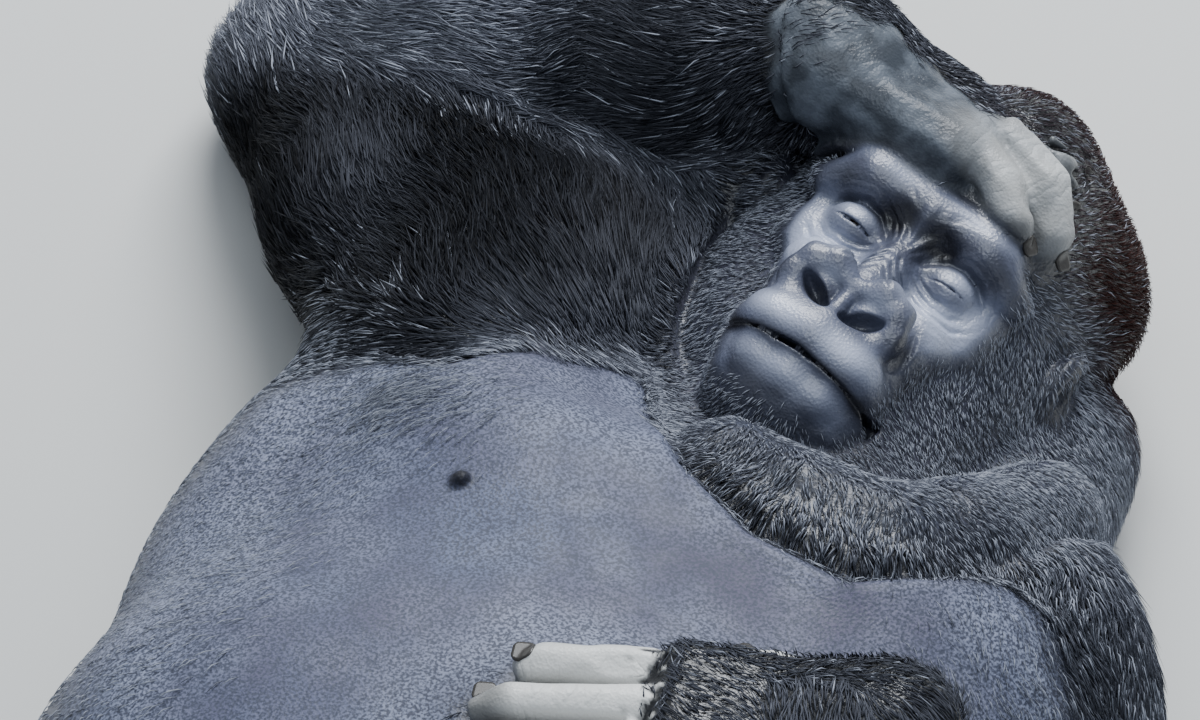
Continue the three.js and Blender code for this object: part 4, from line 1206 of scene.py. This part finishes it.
def skin_finish(look):
    """Bare ape skin: thick, dark, finely pebbled and creased, with a soft greasy shine.

    Pebbles 2 mm apart break the shine up, dark pores 1.9 mm apart stipple the chest, and the hands
    are pale and cross-creased every few millimetres.
    """
    material, tree, shader = new_material("gorilla_skin", {})
    zone = node(tree, "ShaderNodeAttribute", attribute_name="zone")
    face, chest, hands = node(tree, "ShaderNodeSeparateColor", _0=zone.outputs["Color"]).outputs
    tone = node(tree, "ShaderNodeAttribute", attribute_name="tone")
    dark, light, pale = node(tree, "ShaderNodeSeparateColor", _0=tone.outputs["Color"]).outputs
    place = node(tree, "ShaderNodeTexCoord").outputs["Object"]
    cloud = node(tree, "ShaderNodeTexNoise", Vector=place, Scale=per_metre(110), Detail=3.0).outputs[0]
    blotch = node(tree, "ShaderNodeTexNoise", Vector=place, Scale=per_metre(24), Detail=4.0).outputs[0]
    pore = node(tree, "ShaderNodeTexNoise", Vector=place, Scale=per_metre(1.9), Detail=2.0).outputs[0]
    pebble = node(tree, "ShaderNodeTexVoronoi", Vector=place, Scale=per_metre(2.0)).outputs[0]
    # colour of each zone: face, chest, hands and feet
    wide = node(tree, "ShaderNodeMapRange", _0=cloud, _1=0.38, _2=0.64).outputs[0]
    spots = node(tree, "ShaderNodeMapRange", _0=blotch, _1=0.4, _2=0.62).outputs[0]
    stipple = node(tree, "ShaderNodeMapRange", _0=pore, _1=0.42, _2=0.60).outputs[0]
    of_face = node(tree, "ShaderNodeMix", data_type="RGBA", _0=spots, _6=look.face_mid,
                   _7=look.face_worn)
    # painted highlights of the lids, cheeks, lips and brow
    of_face = node(tree, "ShaderNodeMix", data_type="RGBA", _0=light, _6=of_face.outputs[2],
                   _7=look.face_highlight)
    of_chest = node(tree, "ShaderNodeMix", data_type="RGBA", _0=wide, _6=look.chest_violet,
                    _7=look.chest_blue)
    # painted highlight on the foot of the chest, and its paler flanks
    of_chest = node(tree, "ShaderNodeMix", data_type="RGBA", _0=light, _6=of_chest.outputs[2],
                    _7=look.chest_pale_and_highlight)
    of_chest = node(tree, "ShaderNodeMix", data_type="RGBA", _0=stipple, _6=look.chest_pore,
                    _7=of_chest.outputs[2])
    of_hands = node(tree, "ShaderNodeMix", data_type="RGBA", _0=spots, _6=look.hand_grey,
                    _7=look.hand_worn)
    palest = node(tree, "ShaderNodeMapRange", _0=pale, _1=0.4, _2=0.9).outputs[0]
    of_hands = node(tree, "ShaderNodeMix", data_type="RGBA", _0=palest, _6=of_hands.outputs[2],
                    _7=look.hand_pale)
    # the zones laid over the skin under the coat, then the dark skin and the painted shade
    colour = node(tree, "ShaderNodeMix", data_type="RGBA", _0=chest, _6=look.skin_under_coat,
                  _7=of_chest.outputs[2])
    colour = node(tree, "ShaderNodeMix", data_type="RGBA", _0=face, _6=colour.outputs[2],
                  _7=of_face.outputs[2])
    colour = node(tree, "ShaderNodeMix", data_type="RGBA", _0=hands, _6=colour.outputs[2],
                  _7=of_hands.outputs[2])
    colour = node(tree, "ShaderNodeMix", data_type="RGBA", _0=dark, _6=colour.outputs[2],
                  _7=look.dark_skin_and_shade)
    tree.links.new(colour.outputs[2], shader.inputs["Base Color"])
    # shine: least on the chest and the hands
    rough = node(tree, "ShaderNodeMapRange", _0=spots, _3=0.28, _4=0.40).outputs[0]
    rough = node(tree, "ShaderNodeMath", operation="ADD", _0=rough,
                 _1=node(tree, "ShaderNodeMath", operation="MULTIPLY", _0=chest, _1=0.22).outputs[0])
    tree.links.new(rough.outputs[0], shader.inputs["Roughness"])
    matt = node(tree, "ShaderNodeMath", operation="MAXIMUM", _0=chest, _1=hands).outputs[0]
    shine = node(tree, "ShaderNodeMapRange", _0=matt, _3=0.75, _4=0.24).outputs[0]
    tree.links.new(shine, shader.inputs["Specular IOR Level"])
    # relief: pebbles, pores, and creases across the digits and round the eyes
    creased = node(tree, "ShaderNodeMath", operation="MAXIMUM", _0=hands, _1=face).outputs[0]
    creased = node(tree, "ShaderNodeMath", operation="MULTIPLY", _0=creased, _1=pale).outputs[0]
    creased = node(tree, "ShaderNodeMath", operation="MULTIPLY", _0=creased, _1=spots).outputs[0]
    along = node(tree, "ShaderNodeMath", operation="MULTIPLY_ADD", _0=blotch, _1=12.0,
                 _2=tone.outputs["Alpha"])
    fold = node(tree, "ShaderNodeMath", operation="SINE", _0=along.outputs[0])
    fold = node(tree, "ShaderNodeMath", operation="ABSOLUTE", _0=fold.outputs[0])
    fold = node(tree, "ShaderNodeMath", operation="POWER", _0=fold.outputs[0], _1=0.8)
    fold = node(tree, "ShaderNodeMath", operation="MULTIPLY", _0=fold.outputs[0], _1=creased)
    fold = node(tree, "ShaderNodeMath", operation="MULTIPLY", _0=fold.outputs[0], _1=4.0)
    grain = node(tree, "ShaderNodeMath", operation="ADD", _0=pebble, _1=pore)
    grain = node(tree, "ShaderNodeMath", operation="ADD", _0=grain.outputs[0], _1=fold.outputs[0])
    bump = node(tree, "ShaderNodeBump", Strength=0.5, Distance=0.5 * MM, Height=grain.outputs[0])
    tree.links.new(bump.outputs[0], shader.inputs["Normal"])
    return material


def nail_finish(look):
    """Horn of a nail: dense and dark, buffed by use, so it shines more sharply than skin."""
    material, tree, shader = new_material("worn_nail_horn", {"Roughness": 0.32})
    place = node(tree, "ShaderNodeTexCoord").outputs["Object"]
    streak = node(tree, "ShaderNodeTexNoise", Vector=place, Scale=per_metre(1.5), Detail=2.0).outputs[0]
    colour = node(tree, "ShaderNodeMix", data_type="RGBA", _0=streak, _6=look.nail_dark,
                  _7=look.nail_light)
    tree.links.new(colour.outputs[2], shader.inputs["Base Color"])
    return material


def eye_finish(look):
    """Wet cornea over a dark brown iris: near-mirror shine, seen as a glint between the lids."""
    return new_material("wet_eye", {
        "Base Color": tuple(look.eye_brown), "Roughness": 0.06, "IOR": 1.376})[0]


def floor_finish(look):
    """Matt emulsion on a studio floor: even and dry, it shows nothing but the soft shadow."""
    return new_material("matt_floor_paint", {
        "Base Color": tuple(look.floor_colour), "Roughness": 0.9})[0]


# ------------------------------------------------------------ sizes and colours that can be changed
def paint(name, value, text):
    """A colour that can be changed, given as sRGB hex."""
    return bpy.props.FloatVectorProperty(
        name=name, default=linear(value), size=4, min=0, max=1, subtype="COLOR", description=text)


class GORILLA_PG_look(bpy.types.PropertyGroup):
    coat_length: bpy.props.FloatProperty(
        name="Coat length", default=1.0, min=0.3, max=2.0, subtype="FACTOR",
        description="Length of every tuft, as a share of its own")
    tuft_width: bpy.props.FloatProperty(
        name="Tuft width", default=1.0, min=0.3, max=2.0, subtype="FACTOR",
        description="Width of every tuft, as a share of its own")
    coat_share: bpy.props.FloatProperty(
        name="Coat cover", default=1.0, min=0.05, max=1.0, subtype="FACTOR",
        description="Share of the tufts that are made")
    light: bpy.props.FloatProperty(
        name="Light", default=1.0, min=0.0, max=5.0, description="Strength of the studio lights")
    hair_root: paint("Hair root", "#050507", "Darkest hair")
    hair_dark: paint("Hair", "#6a6d78", "Palest of the dark hair")
    hair_tip: paint("Hair tips", "#62656f", "Tips of the coat")
    hair_silver: paint("Silver hair", "#a9aeba", "Pale tufts")
    hair_bloom: paint("Bloom", "#c9d6f0", "Bloom of the coat where light grazes it")
    crown_root: paint("Crown root", "#1c0f0b", "Roots of the crown's hair")
    crown_tip: paint("Crown", "#452218", "Lit hair of the crown")
    face_mid: paint("Face", "#444756", "The face")
    face_worn: paint("Face, worn", "#595e71", "Worn spots of the face")
    # painted highlight of the lids, cheeks, lips and brow
    face_highlight: paint("Face, light", "#b0b7cc", "Lids, cheeks and upper lip")
    # painted shade of the eye hollows, under the chin, the line between the lips and beneath and
    # between the left fingers; also the dark skin of the nipples and ears
    dark_skin_and_shade: paint("Hollows", "#141318", "Skin of the eye hollows and the chin")
    chest_violet: paint("Chest", "#575469", "Middle of the chest")
    chest_blue: paint("Chest, cool", "#626a83", "Cooler parts of the chest")
    # painted highlight on the foot of the chest where it faces up, and the paler flanks
    chest_pale_and_highlight: paint("Chest, pale", "#9097ad", "Flanks and the foot of the chest")
    chest_pore: paint("Pores", "#464a59", "Pores of the chest")
    hand_grey: paint("Hands", "#3c4148", "Wrist and palm")
    hand_worn: paint("Hands, worn", "#666d76", "Worn spots of the hands and feet")
    hand_pale: paint("Fingers", "#e4e4e0", "Palest skin of the fingers")
    nail_dark: paint("Nails", "#1b1a1a", "Dark of the nails")
    nail_light: paint("Nails, worn", "#4b4742", "Worn streaks of the nails")
    skin_under_coat: paint("Under the coat", "#0f0f12", "Skin under the coat")
    eye_brown: paint("Eyes", "#1a0d08", "The eyes")
    floor_colour: paint("Floor", "#d9d9d6", "The floor")


def look_of(context):
    """The sizes and colours that can be changed."""
    return context.scene.gorilla_look


MADE = {}                  # the skin's arrays, kept for the coat


class Builder(bpy.types.Operator):
    """Base of the steps that make one group of pieces."""
    bl_options = {"REGISTER", "UNDO"}

    def finish(self, things, material, slot):
        """Gives pieces their material and the body that they ride on; the slot is not used."""
        for thing in things:
            thing.data.materials.append(material)
            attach(thing, "root")
        return {"FINISHED"}


# painted shade in the face's hollows, under the chin and in its creases, and painted highlights on the
# lids, cheeks, lips and brow: across, up, half sizes in mm, strength; on both sides
# painted shade: eye hollows, brow corners, under the chin, beside the nose, corners of the mouth
SHADE_SPOTS = [
    (19, 17, 12, 9, 0.95), (10, 26, 14, 13, 0.7), (8, 6, 5, 10, 0.3), (0, -144, 60, 20, 0.9),
    (20, -62, 13, 5, 0.6), (44, -56, 5, 14, 0.6), (58, 22, 14, 10, 0.55), (55, -98, 9, 12, 0.55),
    (47, -102, 10, 5, 0.6), (14, -28, 6, 8, 0.4)]
# painted highlights: under the eyes, lids, cheeks, upper and lower lip, brow, sides of the nose
HIGHLIGHT_SPOTS = [
    (38, -21, 24, 11, 1.0), (37, 7, 12, 6, 0.8), (26, -83, 26, 9, 1.0), (60, -8, 12, 18, 0.55),
    (0, -114, 38, 9, 0.6), (26, 41, 22, 6, 0.7), (52, -36, 10, 12, 0.5), (17, -45, 9, 5, 0.5)]
LIP_SHADE = 2.4            # half width of the dark line where the lips meet, in mm
NIPPLE_SHADE = 8           # radius of the dark skin of a nipple, in mm
DARKEST = 0.94
CREASE_GAP = 8.0           # between the creases across the digits, in mm


def spotted(h, spots):
    """Summed strength of soft spots on both sides of the face, at head places."""
    a, up = np.abs(h[:, 0]), h[:, 1]
    marks = (k * np.exp(-((a - x) / w) ** 2 - ((up - y) / t) ** 2) for x, y, w, t, k in spots)
    return np.clip(sum(marks), 0, 1)


def skin_zones(points, s):
    """Shares of the face, of the chest and of the hands and feet, and how bare the skin is."""
    h, bare = head_place(points), bareness(points, s)
    zone = np.zeros((len(points), 4), np.float32)
    zone[:, 0] = bare_face(h) * step_up(share_of(s, "head"), 0.3, 0.6)
    chest = bare_chest(body_place(points))
    chest = chest * step_up(share_of(s, "chest", "belly", "neck"), 0.3, 0.7)
    # under the hair of the cheeks and the throat the skin is a little like the chest's
    haired = share_of(s, "head", "neck") * (1 - zone[:, 0])
    zone[:, 1] = np.maximum(chest, 0.4 * haired * (1 - step_up(h[:, 1], 30, 80)))
    ends = step_up(share_of(s, "palm", "digits", "foot", "toes", "right_forearm"), 0.4, 0.8)
    zone[:, 2] = ends * step_up(bare, 0.2, 0.7)
    zone[:, 3] = bare
    return zone


def skin_tones(points, s, zone):
    """Dark shares (mostly painted shade), light shares (mostly painted highlights) and pale shares of
    the skin, and the phase of its creases.
    """
    h, b = head_place(points), body_place(points)
    face, chest = zone[:, 0], zone[:, 1]
    out = np.zeros((len(points), 4), np.float32)
    dark, light, pale, phase = out.T
    # dark: painted shade in the hollows of the face, under the chin and along the line between the
    # lips; darker ears and nipples
    dark += spotted(h, SHADE_SPOTS) * face + 0.5 * ear_place(h) * share_of(s, "head")
    lips = np.exp(-((h[:, 1] - mouth_line(h[:, 0])) / LIP_SHADE) ** 2)
    lips *= step_up(-np.abs(h[:, 0] + 2), -58, -50)
    dark += 0.9 * lips * face * step_up(h[:, 2], -5, 15)
    for n in NIPPLES:
        dark += 0.9 * np.exp(-(((b - n)[:, :2] / NIPPLE_SHADE) ** 2).sum(1) ** 2) * chest
    # light: painted highlights on the lids, cheeks, lips and brow, and on the foot of the chest where
    # it faces up; the chest is lighter too towards its flanks and the neck
    foot = step_up(-b[:, 1] + 0.35 * b[:, 0], 10, 120) * step_up(np.abs(b[:, 0] - 20), 150, 40)
    flanks = 0.65 * step_up(np.abs(b[:, 0] + 10), 120, 250) + 0.15 * waves(points, 60, 23)
    flanks += 0.4 * step_up(b[:, 1], -10, 90)
    light += spotted(h, HIGHLIGHT_SPOTS) * face + np.clip(foot + flanks, 0, 1) * chest
    # pale: the hands; the left one darker at its end, with painted shade beneath and between its
    # fingers
    left, right = share_of(s, "left_digits", "left_palm"), share_of(s, "right_digits")
    reach = (b - JOINTS["left_wrist"]) @ LEFT_FINGERS
    end = step_up(reach, 202, 222) * left
    under = step_up(JOINTS["left_wrist"][2] - b[:, 2], 12, 28) * left
    cleft_shade = np.clip(finger_clefts(b, left) / 8, 0, 1)
    # darker at the fingers' end, and painted shade beneath and between them
    dark += 0.75 * end + 0.6 * under + 0.8 * cleft_shade
    dark[:] = np.clip(dark, 0, DARKEST)
    pale += left * 0.95 + right * 0.85 + share_of(s, "toes", "foot") * 0.2
    pale += 0.42 * share_of(s, "right_palm") + 0.4 * share_of(s, "right_forearm")
    # creases across the digits, and rings of fine folds round the eyes
    ring = np.hypot((np.abs(h[:, 0]) - HALF_GAP) * 0.7, h[:, 1])
    pale += 0.5 * face * np.exp(-((ring - 20) / 10) ** 2)
    run = np.where(left > 0.5, reach, (b - JOINTS["right_wrist"]) @ RIGHT_FINGERS)
    phase += np.where(face > 0.5, 1.7 * ring, run) * (math.pi / CREASE_GAP)
    return out


class GORILLA_OT_skin(Builder):
    """One skin over the whole body, in place of the solids of flesh"""
    bl_idname = "gorilla.skin"
    bl_label = "Skin"

    def execute(self, context):
        points, faces = skin_mesh_data()
        skin = mesh_object("skin", points, faces)
        s = shares(points)
        zone = skin_zones(points, s)
        paint_points(skin, "zone", zone)
        paint_points(skin, "tone", skin_tones(points, s, zone))
        MADE["skin"] = (points, faces, skin_normals(points, faces))
        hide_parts(*FLESH)
        return self.finish([skin], skin_finish(look_of(context)), "skin")


CORNEA_SIZE, CORNEA_RISE = 0.5, 0.06     # as shares of the eyeball's radius


class GORILLA_OT_eyes(Builder):
    """Both eyeballs, with the clear bulge of the cornea"""
    bl_idname = "gorilla.eyes"
    bl_label = "Eyes"

    def execute(self, context):
        made = []
        for side in ("right", "left"):
            low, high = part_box(side + "_eye")
            radius = (high - low)[0] / 2
            shell = bmesh.new()
            bmesh.ops.create_uvsphere(shell, u_segments=40, v_segments=24, radius=radius)
            for v in shell.verts:
                rim = math.hypot(v.co.x, v.co.y) / radius
                v.co.z *= 1 + CORNEA_RISE * max(0, 1 - (rim / CORNEA_SIZE) ** 2) * (v.co.z > 0)
            turn = Matrix((HEAD_LEFT, HEAD_UP, HEAD_FRONT)).transposed().to_4x4()
            turn.translation = (low + high) / 2
            shell.transform(turn)
            mesh = bpy.data.meshes.new(side + "_eyeball")
            shell.to_mesh(mesh)
            shell.free()
            mesh.shade_smooth()
            eye = placed(side + "_eyeball", mesh)
            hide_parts(side + "_eye")
            made.append(eye)
        return self.finish(made, eye_finish(look_of(context)), "eye")


# toes, and how wide and long their nails are in mm
TOE_NAILS = (("big", 17), ("second", 11), ("third", 11), ("fourth", 10), ("fifth", 9))
# nails: node, way the digit points, way its nail faces, width and length in mm
NAILS = []
for digit in ("little", "ring", "middle", "index"):
    NAILS.append((f"left_{digit}_finger", (-0.95, -0.30, -0.10), (-0.04, 0.12, 0.99), 13, 13))
    NAILS.append((f"right_{digit}_finger", (0.55, -0.55, -0.55), (0.50, 0.30, 0.80), 12, 12))
NAILS.append(("left_thumb", (-0.90, 0.35, -0.15), (0.10, 0.45, 0.88), 15, 14))
NAILS.append(("right_thumb", (0.60, 0.50, -0.60), (0.10, 0.75, 0.65), 14, 13))
for side, s in (("right", -1), ("left", 1)):
    for digit, width in TOE_NAILS:
        NAILS.append((f"{side}_{digit}_toe", (s * 0.10, -0.90, 0.42), (s * 0.12, 0.42, 0.90),
                      width, width))
NAIL_ROWS = 9              # points along a nail, and across it
NAIL_BACK = 0.72           # its middle lies this share of its length behind the digit's end
NAIL_START = 26            # mm above the digit, from where its points are let down
NAIL_CREST = 12            # its crest is the height that this many of its points reach
NAIL_DROP, NAIL_RISE = 3.5, 1.0    # mm that its points may lie below and above the crest
NAIL_MARGIN = 2 * MM       # kept free inside the solids' box
NAIL_TOP, NAIL_BOTTOM = 0.9 * MM, 0.8 * MM    # from the skin to its two faces


def nail_mesh(name, node_name, forward, face, width, length):
    """A thin curved plate laid on the end of a digit."""
    forward = np.array(forward) / np.linalg.norm(forward)
    face = laid(np.array([face]), forward[None])[0]
    side = np.cross(face, forward)
    points, _ = soup([node_name])
    tip = points[(points @ forward).argmax()]
    centre = points.mean(0)
    tip = centre + forward * ((tip - centre) @ forward)
    last = NAIL_ROWS - 1
    grid = []
    for i in range(NAIL_ROWS):
        along = i / last - 0.5
        ahead = along * length * MM - NAIL_BACK * length * MM
        narrow = math.sqrt(max(0.0, 1 - max(0.0, abs(along) * 2 - 0.45) ** 2 / 0.42))
        for j in range(NAIL_ROWS):
            across = (j / last * 2 - 1) * narrow * width / 2 * MM
            grid.append(tip + forward * ahead + side * across)
    grid = np.array(grid) + face * NAIL_START * MM
    # the points are let down on the skin, then kept near the crest, so that no edge folds under
    for _ in range(40):
        grid = grid - face * (np.clip(skin_field(grid), -1 * MM, 2.5 * MM) * 0.8)[:, None]
    level = grid @ face
    crest = np.sort(level)[-NAIL_CREST]
    grid += face * np.clip(crest - level - NAIL_DROP * MM, 0, None)[:, None]
    grid -= face * np.clip(level - crest - NAIL_RISE * MM, 0, None)[:, None]
    grid = np.clip(grid, np.array(CAD_BOX[0]) + NAIL_MARGIN, np.array(CAD_BOX[1]) - NAIL_MARGIN)
    number = np.arange(NAIL_ROWS ** 2).reshape(NAIL_ROWS, NAIL_ROWS).tolist()
    quads = [(number[i][j], number[i][j + 1], number[i + 1][j + 1], number[i + 1][j])
             for i in range(last) for j in range(last)]
    rim = number[0] + [row[-1] for row in number[1:]]
    rim += number[-1][-2::-1] + [row[0] for row in number[-2:0:-1]]
    below = NAIL_ROWS ** 2
    faces = quads + [tuple(v + below for v in q[::-1]) for q in quads]
    faces += [(b, a, a + below, b + below) for a, b in zip(rim, rim[1:] + rim[:1])]
    mesh = bpy.data.meshes.new(name)
    top, bottom = grid + face * NAIL_TOP, grid - face * NAIL_BOTTOM
    mesh.from_pydata(np.concatenate([top, bottom]).tolist(), [], faces)
    shape = bmesh.new()
    shape.from_mesh(mesh)
    bmesh.ops.recalc_face_normals(shape, faces=shape.faces)
    shape.to_mesh(mesh)
    shape.free()
    mesh.shade_smooth()
    return placed(name, mesh)


class GORILLA_OT_nails(Builder):
    """A nail on every finger and toe"""
    bl_idname = "gorilla.nails"
    bl_label = "Nails"

    def execute(self, context):
        made = []
        for node_name, forward, face, width, length in NAILS:
            name = node_name.replace("_finger", "") + "_nail"
            made.append(nail_mesh(name, node_name, forward, face, width, length))
        return self.finish(made, nail_finish(look_of(context)), "skin")


# name of each piece of coat: its groups and how many tufts it has
COATS = {
    "coat_head": (("head",), 33000),
    "coat_neck": (("neck",), 18000),
    "coat_right_upper_arm": (("right_upper_arm",), 33000),
    "coat_right_forearm": (("right_forearm", "right_palm"), 33000),
    "coat_left_arm": (("left_upper_arm", "left_forearm", "left_palm"), 33000),
    "coat_chest": (("chest",), 24000),
    "coat_belly": (("belly", "pelvis"), 26000),
    "coat_right_leg": (("right_thigh", "right_shank", "right_foot"), 16000),
    "coat_left_leg": (("left_thigh", "left_shank", "left_foot"), 16000),
}


def scattered(rng, weight, count, points, faces, normals):
    """Places spread over the triangles by weight, and the normals there."""
    total = np.cumsum(weight)
    reach = (np.arange(count) + rng.uniform(0, 1, count)) / count
    pick = np.minimum(np.searchsorted(total, reach * total[-1]), len(faces) - 1)
    u, v = rng.uniform(0, 1, (2, count))
    over = u + v > 1
    u[over], v[over] = 1 - u[over], 1 - v[over]
    w = np.stack([1 - u - v, u, v], 1)[..., None]
    root = (points[faces[pick]] * w).sum(1)
    normal = (normals[faces[pick]] * w).sum(1)
    return root, normal / np.linalg.norm(normal, axis=1, keepdims=True)


class GORILLA_OT_coat(Builder):
    """The coat: tufts rooted all over the skin, except where it is bare"""
    bl_idname = "gorilla.coat"
    bl_label = "Coat"

    def execute(self, context):
        if "skin" not in MADE:
            raise RuntimeError("make the skin before the coat")
        look = look_of(context)
        points, faces, normals = MADE["skin"]
        mid = points[faces].mean(1)
        s = shares(mid)
        cover = coat_traits(mid, s)["cover"]
        side = normals[faces].mean(1)
        side /= np.maximum(np.linalg.norm(side, axis=1, keepdims=True), 1e-9)
        a, b, c = (points[faces[:, k]] for k in range(3))
        area = np.linalg.norm(np.cross(b - a, c - a), axis=1)
        # thinner underneath, and none where the body rests on the floor
        seen = 0.45 + 0.55 * step_up(side[:, 2], -0.5, 0.3)
        resting = (mid[:, 2] < 9 * MM) & (side[:, 2] < -0.5)
        weight = area * cover * seen * ~resting
        home = s.argmax(1)
        made = []
        material = hair_finish(look)
        for number, (name, (groups, count)) in enumerate(COATS.items()):
            rng = np.random.default_rng(SEED + number)
            mine = np.isin(home, [GROUP_NAMES.index(g) for g in groups])
            count = int(count * look.coat_share)
            root, normal = scattered(rng, weight * mine, count, points, faces, normals)
            near = shares(root)
            flow = coat_flow(root, near, normal)
            traits = coat_traits(root, near)
            made.append(tuft_mesh(name, root, normal, flow, traits, rng, look))
        return self.finish(made, material, "fur")


FLOOR_HALF = 30            # in metres
SKY_TINT, SKY_STRENGTH = (0.78, 0.87, 1.0, 1), 0.38
# lamps: name, place and size in metres, power in watts, tint
LAMPS = (
    ("key", (-0.8, 2.9, 2.5), 2.0, 190, (0.93, 0.96, 1.0)),
    ("top", (0.2, 0.2, 4.2), 2.6, 55, (0.86, 0.93, 1.0)),
    ("fill", (2.6, -2.6, 2.2), 2.4, 8, (0.86, 0.92, 1.0)),
)
# the camera: its turn and rise in degrees, its lens in mm, its place on the body's own axes
CAMERA_TURN, CAMERA_RISE, CAMERA_LENS = 28, 55, 210
CAMERA_PLACE = (995.0, -1946.7, 3621.0)


class GORILLA_OT_stage(Builder):
    """Plain floor, soft studio light and the camera"""
    bl_idname = "gorilla.stage"
    bl_label = "Stage"

    def execute(self, context):
        look = look_of(context)
        scene = context.scene
        far = FLOOR_HALF
        corners = [(-far, -far, 0), (far, -far, 0), (far, far, 0), (-far, far, 0)]
        floor = mesh_object("floor", corners, [(0, 1, 2), (0, 2, 3)], smooth=False)
        floor.data.materials.append(floor_finish(look))
        world = bpy.data.worlds.new("studio")
        scene.world = world
        world.use_nodes = True
        sky = world.node_tree.nodes["Background"]
        sky.inputs[0].default_value = SKY_TINT
        sky.inputs[1].default_value = SKY_STRENGTH * look.light
        for name, place, width, power, tint in LAMPS:
            lamp = bpy.data.lights.new(name, "AREA")
            lamp.energy = power * look.light
            lamp.size = width
            lamp.color = tint
            thing = placed(name, lamp)
            thing.location = place
            # every lamp points halfway from the frame's zero to the eyes
            aim = Vector(EYE_MID * 0.5) - Vector(place)
            thing.rotation_euler = aim.to_track_quat("-Z", "Y").to_euler()
        camera = placed("camera", bpy.data.cameras.new("camera"))
        camera.data.lens = CAMERA_LENS
        camera.data.sensor_width = 36
        camera.data.clip_end = 100
        turn, rise = math.radians(CAMERA_TURN), math.radians(CAMERA_RISE)
        flat = math.cos(rise)
        back = Vector((math.sin(turn) * flat, -math.cos(turn) * flat, math.sin(rise)))
        right = Vector((math.cos(turn), math.sin(turn), 0))
        pose = Matrix((right, back.cross(right), back)).transposed().to_4x4()
        pose.translation = at(*CAMERA_PLACE)
        camera.matrix_world = pose
        scene.camera = camera
        return {"FINISHED"}


STEPS = (GORILLA_OT_skin, GORILLA_OT_eyes, GORILLA_OT_nails, GORILLA_OT_coat, GORILLA_OT_stage)


class GORILLA_PT_panel(bpy.types.Panel):
    """The steps and the sizes and colours that they use"""
    bl_label = "Sleeping Gorilla"
    bl_idname = "GORILLA_PT_panel"
    bl_space_type = "VIEW_3D"
    bl_region_type = "UI"
    bl_category = "Gorilla"

    def draw(self, context):
        for step in STEPS:
            self.layout.operator(step.bl_idname)
        for name in GORILLA_PG_look.__annotations__:
            self.layout.prop(look_of(context), name)


CLASSES = (GORILLA_PG_look, *STEPS, GORILLA_PT_panel)


def register():
    for cls in CLASSES:
        bpy.utils.register_class(cls)
    bpy.types.Scene.gorilla_look = bpy.props.PointerProperty(type=GORILLA_PG_look)


def unregister():
    del bpy.types.Scene.gorilla_look
    for cls in reversed(CLASSES):
        bpy.utils.unregister_class(cls)


def main():
    register()
    bpy.ops.gorilla.skin()
    bpy.ops.gorilla.eyes()
    bpy.ops.gorilla.nails()
    bpy.ops.gorilla.coat()
    bpy.ops.gorilla.stage()
    bpy.context.view_layer.update()


if __name__ == "__main__":
    main()
